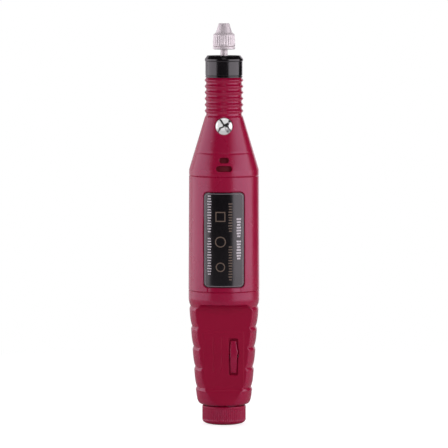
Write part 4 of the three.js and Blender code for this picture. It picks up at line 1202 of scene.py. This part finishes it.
def make_tail_knob():
    mouth_r = 4.8
    hub_r = 6.9
    knurl_foot, knurl_top = 2.1, 7.05
    knob_top = 7.9
    corners = [
        (mouth_r, 0, 0.25), (6.4, 0, 0.5), (7.9, 0.35, 0.8), (8.8, 0.9, 0.5),
        (KNOB_R, 1.7, 0.4), (KNOB_R, knob_top - 0.25, 0.2), (KNOB_R - 0.3, knob_top, 0.15),
        (hub_r, knob_top, 0.1), (hub_r, KNOB_HUB_TOP, 0), (mouth_r, KNOB_HUB_TOP, 0),
    ]

    def knurl(radius, z, angle):
        wave = 0.5 + 0.5 * np.cos(KNOB_FLUTES * angle)
        window = smoothstep(knurl_foot - 0.5, knurl_foot + 0.1, z)
        window = window * (1 - smoothstep(knurl_top - 0.1, knurl_top + 0.15, z))
        outside = smoothstep(KNOB_R - 0.6, KNOB_R - 0.15, radius)
        return radius - 0.2 * wave * window * outside

    turned(
        "tail_knob_dial", corners, "dial", "crimson_plastic", "tail_knob",
        sides=KNOB_FLUTES * 8, step=0.35, warp=knurl,
    )


def make_dc_socket():
    bore = 1.8
    bore_end = SOCKET_TOP - 3.4
    corners = [
        (0, bore_end, 0), (bore, bore_end, 0), (bore, SOCKET_FOOT + 0.5, 0),
        (bore + 0.5, SOCKET_FOOT, 0.15), (SOCKET_R, SOCKET_FOOT, 0.2),
        (SOCKET_R, SOCKET_TOP - 2.2, 0.1), (0, SOCKET_TOP - 2.2, 0),
    ]
    turned("dc_socket_tube", corners, "housing", "black_plastic", "dc_socket")

    foot, top = span("dc_socket_collar", Z)
    inner = SOCKET_R + 0.03
    nut = [(inner, foot, 0.1), (COLLAR_R, foot, 0.2), (COLLAR_R, top, 0.15), (inner, top, 0.1)]
    turned("dc_socket_nut", nut, "housing", "satin_steel", "dc_socket_collar")


# ---- studio

def make_stage():
    """A pale round floor."""
    floor_z = CAD_BOUNDS[0][2] / MM
    radius = 900
    points = [(x, y, floor_z) for x, y in polygon_loop(0, 0, radius, 96)]
    floor = mesh_object("studio_floor", points, [range(96)])
    make_paper()
    dress(floor, "studio_paper")


def make_paper():
    """The floor's finish: it glows near the drill and fades to white, and its underside is clear."""
    shader = Shader("studio_paper", (0.55, 0.55, 0.55), 0.9)
    paper = shader.surface()
    glow = shader.add("Emission", {"Strength": 0.78})
    near = shader.add("AddShader", {0: paper, 1: glow})
    distance = shader.add("VectorMath", {0: shader.place}, "Value", operation="LENGTH")
    fade = shader.ranged(distance, 0, 1, 0.08, 0.3)
    seen = shader.mix(fade, near, shader.add("Emission"))
    lit = shader.mix(shader.add("LightPath", output="Is Camera Ray"), paper, seen)
    below = shader.add("NewGeometry", output="Backfacing")
    shader.finish(shader.mix(below, lit, shader.add("BsdfTransparent")))


LIGHT_TINT = (1, 0.92, 1)


def softbox(name, azimuth, half_angle, radiance, low=0.0, high=0.38):
    """A tall light that faces the drill from an azimuth, which runs from the camera towards +X."""
    distance = 0.45
    turn = radians(azimuth)
    outward = Vector((sin(turn), -cos(turn), 0))
    width = 2 * distance * tan(radians(half_angle))
    middle = outward * distance + Vector((0, 0, (low + high) / 2))
    area_light(name, middle, -outward, (width, high - low), radiance)


def area_light(name, location, direction, size, radiance):
    light = bpy.data.lights.new(name, "AREA")
    light.shape = "RECTANGLE"
    light.size, light.size_y = size
    light.energy = radiance * pi * size[0] * size[1]
    light.color = LIGHT_TINT
    lamp = place(light)
    lamp.location = location
    lamp.rotation_euler = Vector(direction).to_track_quat("-Z", "Y").to_euler()
    lamp.visible_camera = False
    return lamp


def make_lights():
    softbox("left_softbox", -88, 41, 1.6)
    softbox("left_edge_light", -147, 16, 0.75)
    softbox("right_softbox", 67, 38, 1.85)
    softbox("right_edge_light", 160, 12, 1.2)
    softbox("back_softbox", 180, 40, 0.9, low=0.5, high=1.1)
    area_light("top_softbox", (0, 0.5, 1.0), (0, -0.5, -0.92), (0.8, 0.6), 1.1)
    area_light("front_lamp", (0, -0.25, 0.56), (0, 0.25, -0.43), (0.14, 0.1), 2)
    for name, side, radiance in (("front_fill", -1, 0.55), ("back_fill", 1, 0.7)):
        location, direction = (0, 0.9 * side, 0.35), (0, -0.9 * side, -0.25)
        area_light(name, location, direction, (0.9, 0.7), radiance).visible_glossy = False


def make_world():
    """White to the camera, and a dim grey to everything else."""
    world = bpy.data.worlds.new("studio")
    nodes = Nodes(world)
    dim = nodes.tree.nodes["Background"]
    nodes.feed(dim, {"Color": (1, 0.9, 0.97, 1), "Strength": 0.02})
    white = nodes.add("Background", {"Color": (1, 1, 1, 1)})
    to_camera = nodes.add("LightPath", output="Is Camera Ray")
    nodes.finish(nodes.mix(to_camera, dim.outputs[0], white))
    bpy.context.scene.world = world


def make_camera():
    elevation = radians(4)
    distance = 1.5
    view_height = 0.19
    middle = Vector((0, 0, CAD_BOUNDS[1][2] / 2))
    view = bpy.data.cameras.new("camera")
    view.lens = view.sensor_width * distance / view_height
    camera = place(view)
    camera.location = middle + distance * Vector((0, -cos(elevation), sin(elevation)))
    camera.rotation_euler = (middle - camera.location).to_track_quat("-Z", "Y").to_euler()
    bpy.context.scene.camera = camera


# ---- the whole drill

dress_carried_nodes()
make_front_housing()
make_vent_baffle()
make_nose_cap()
make_dust_seal()
make_middle_barrel()
make_badge()
make_badge_print()
make_grip()
make_slot_pocket()
for screw in GRIP_SCREWS:
    make_grip_screw(screw)
make_spindle()
make_chuck_body()
make_chuck_sleeve()
make_jaws()
make_lock_button()
make_lock_spring()
make_rocker()
make_tail_knob()
make_dc_socket()
make_stage()
make_lights()
make_world()
make_camera()
bpy.context.scene.view_settings.view_transform = "Standard"
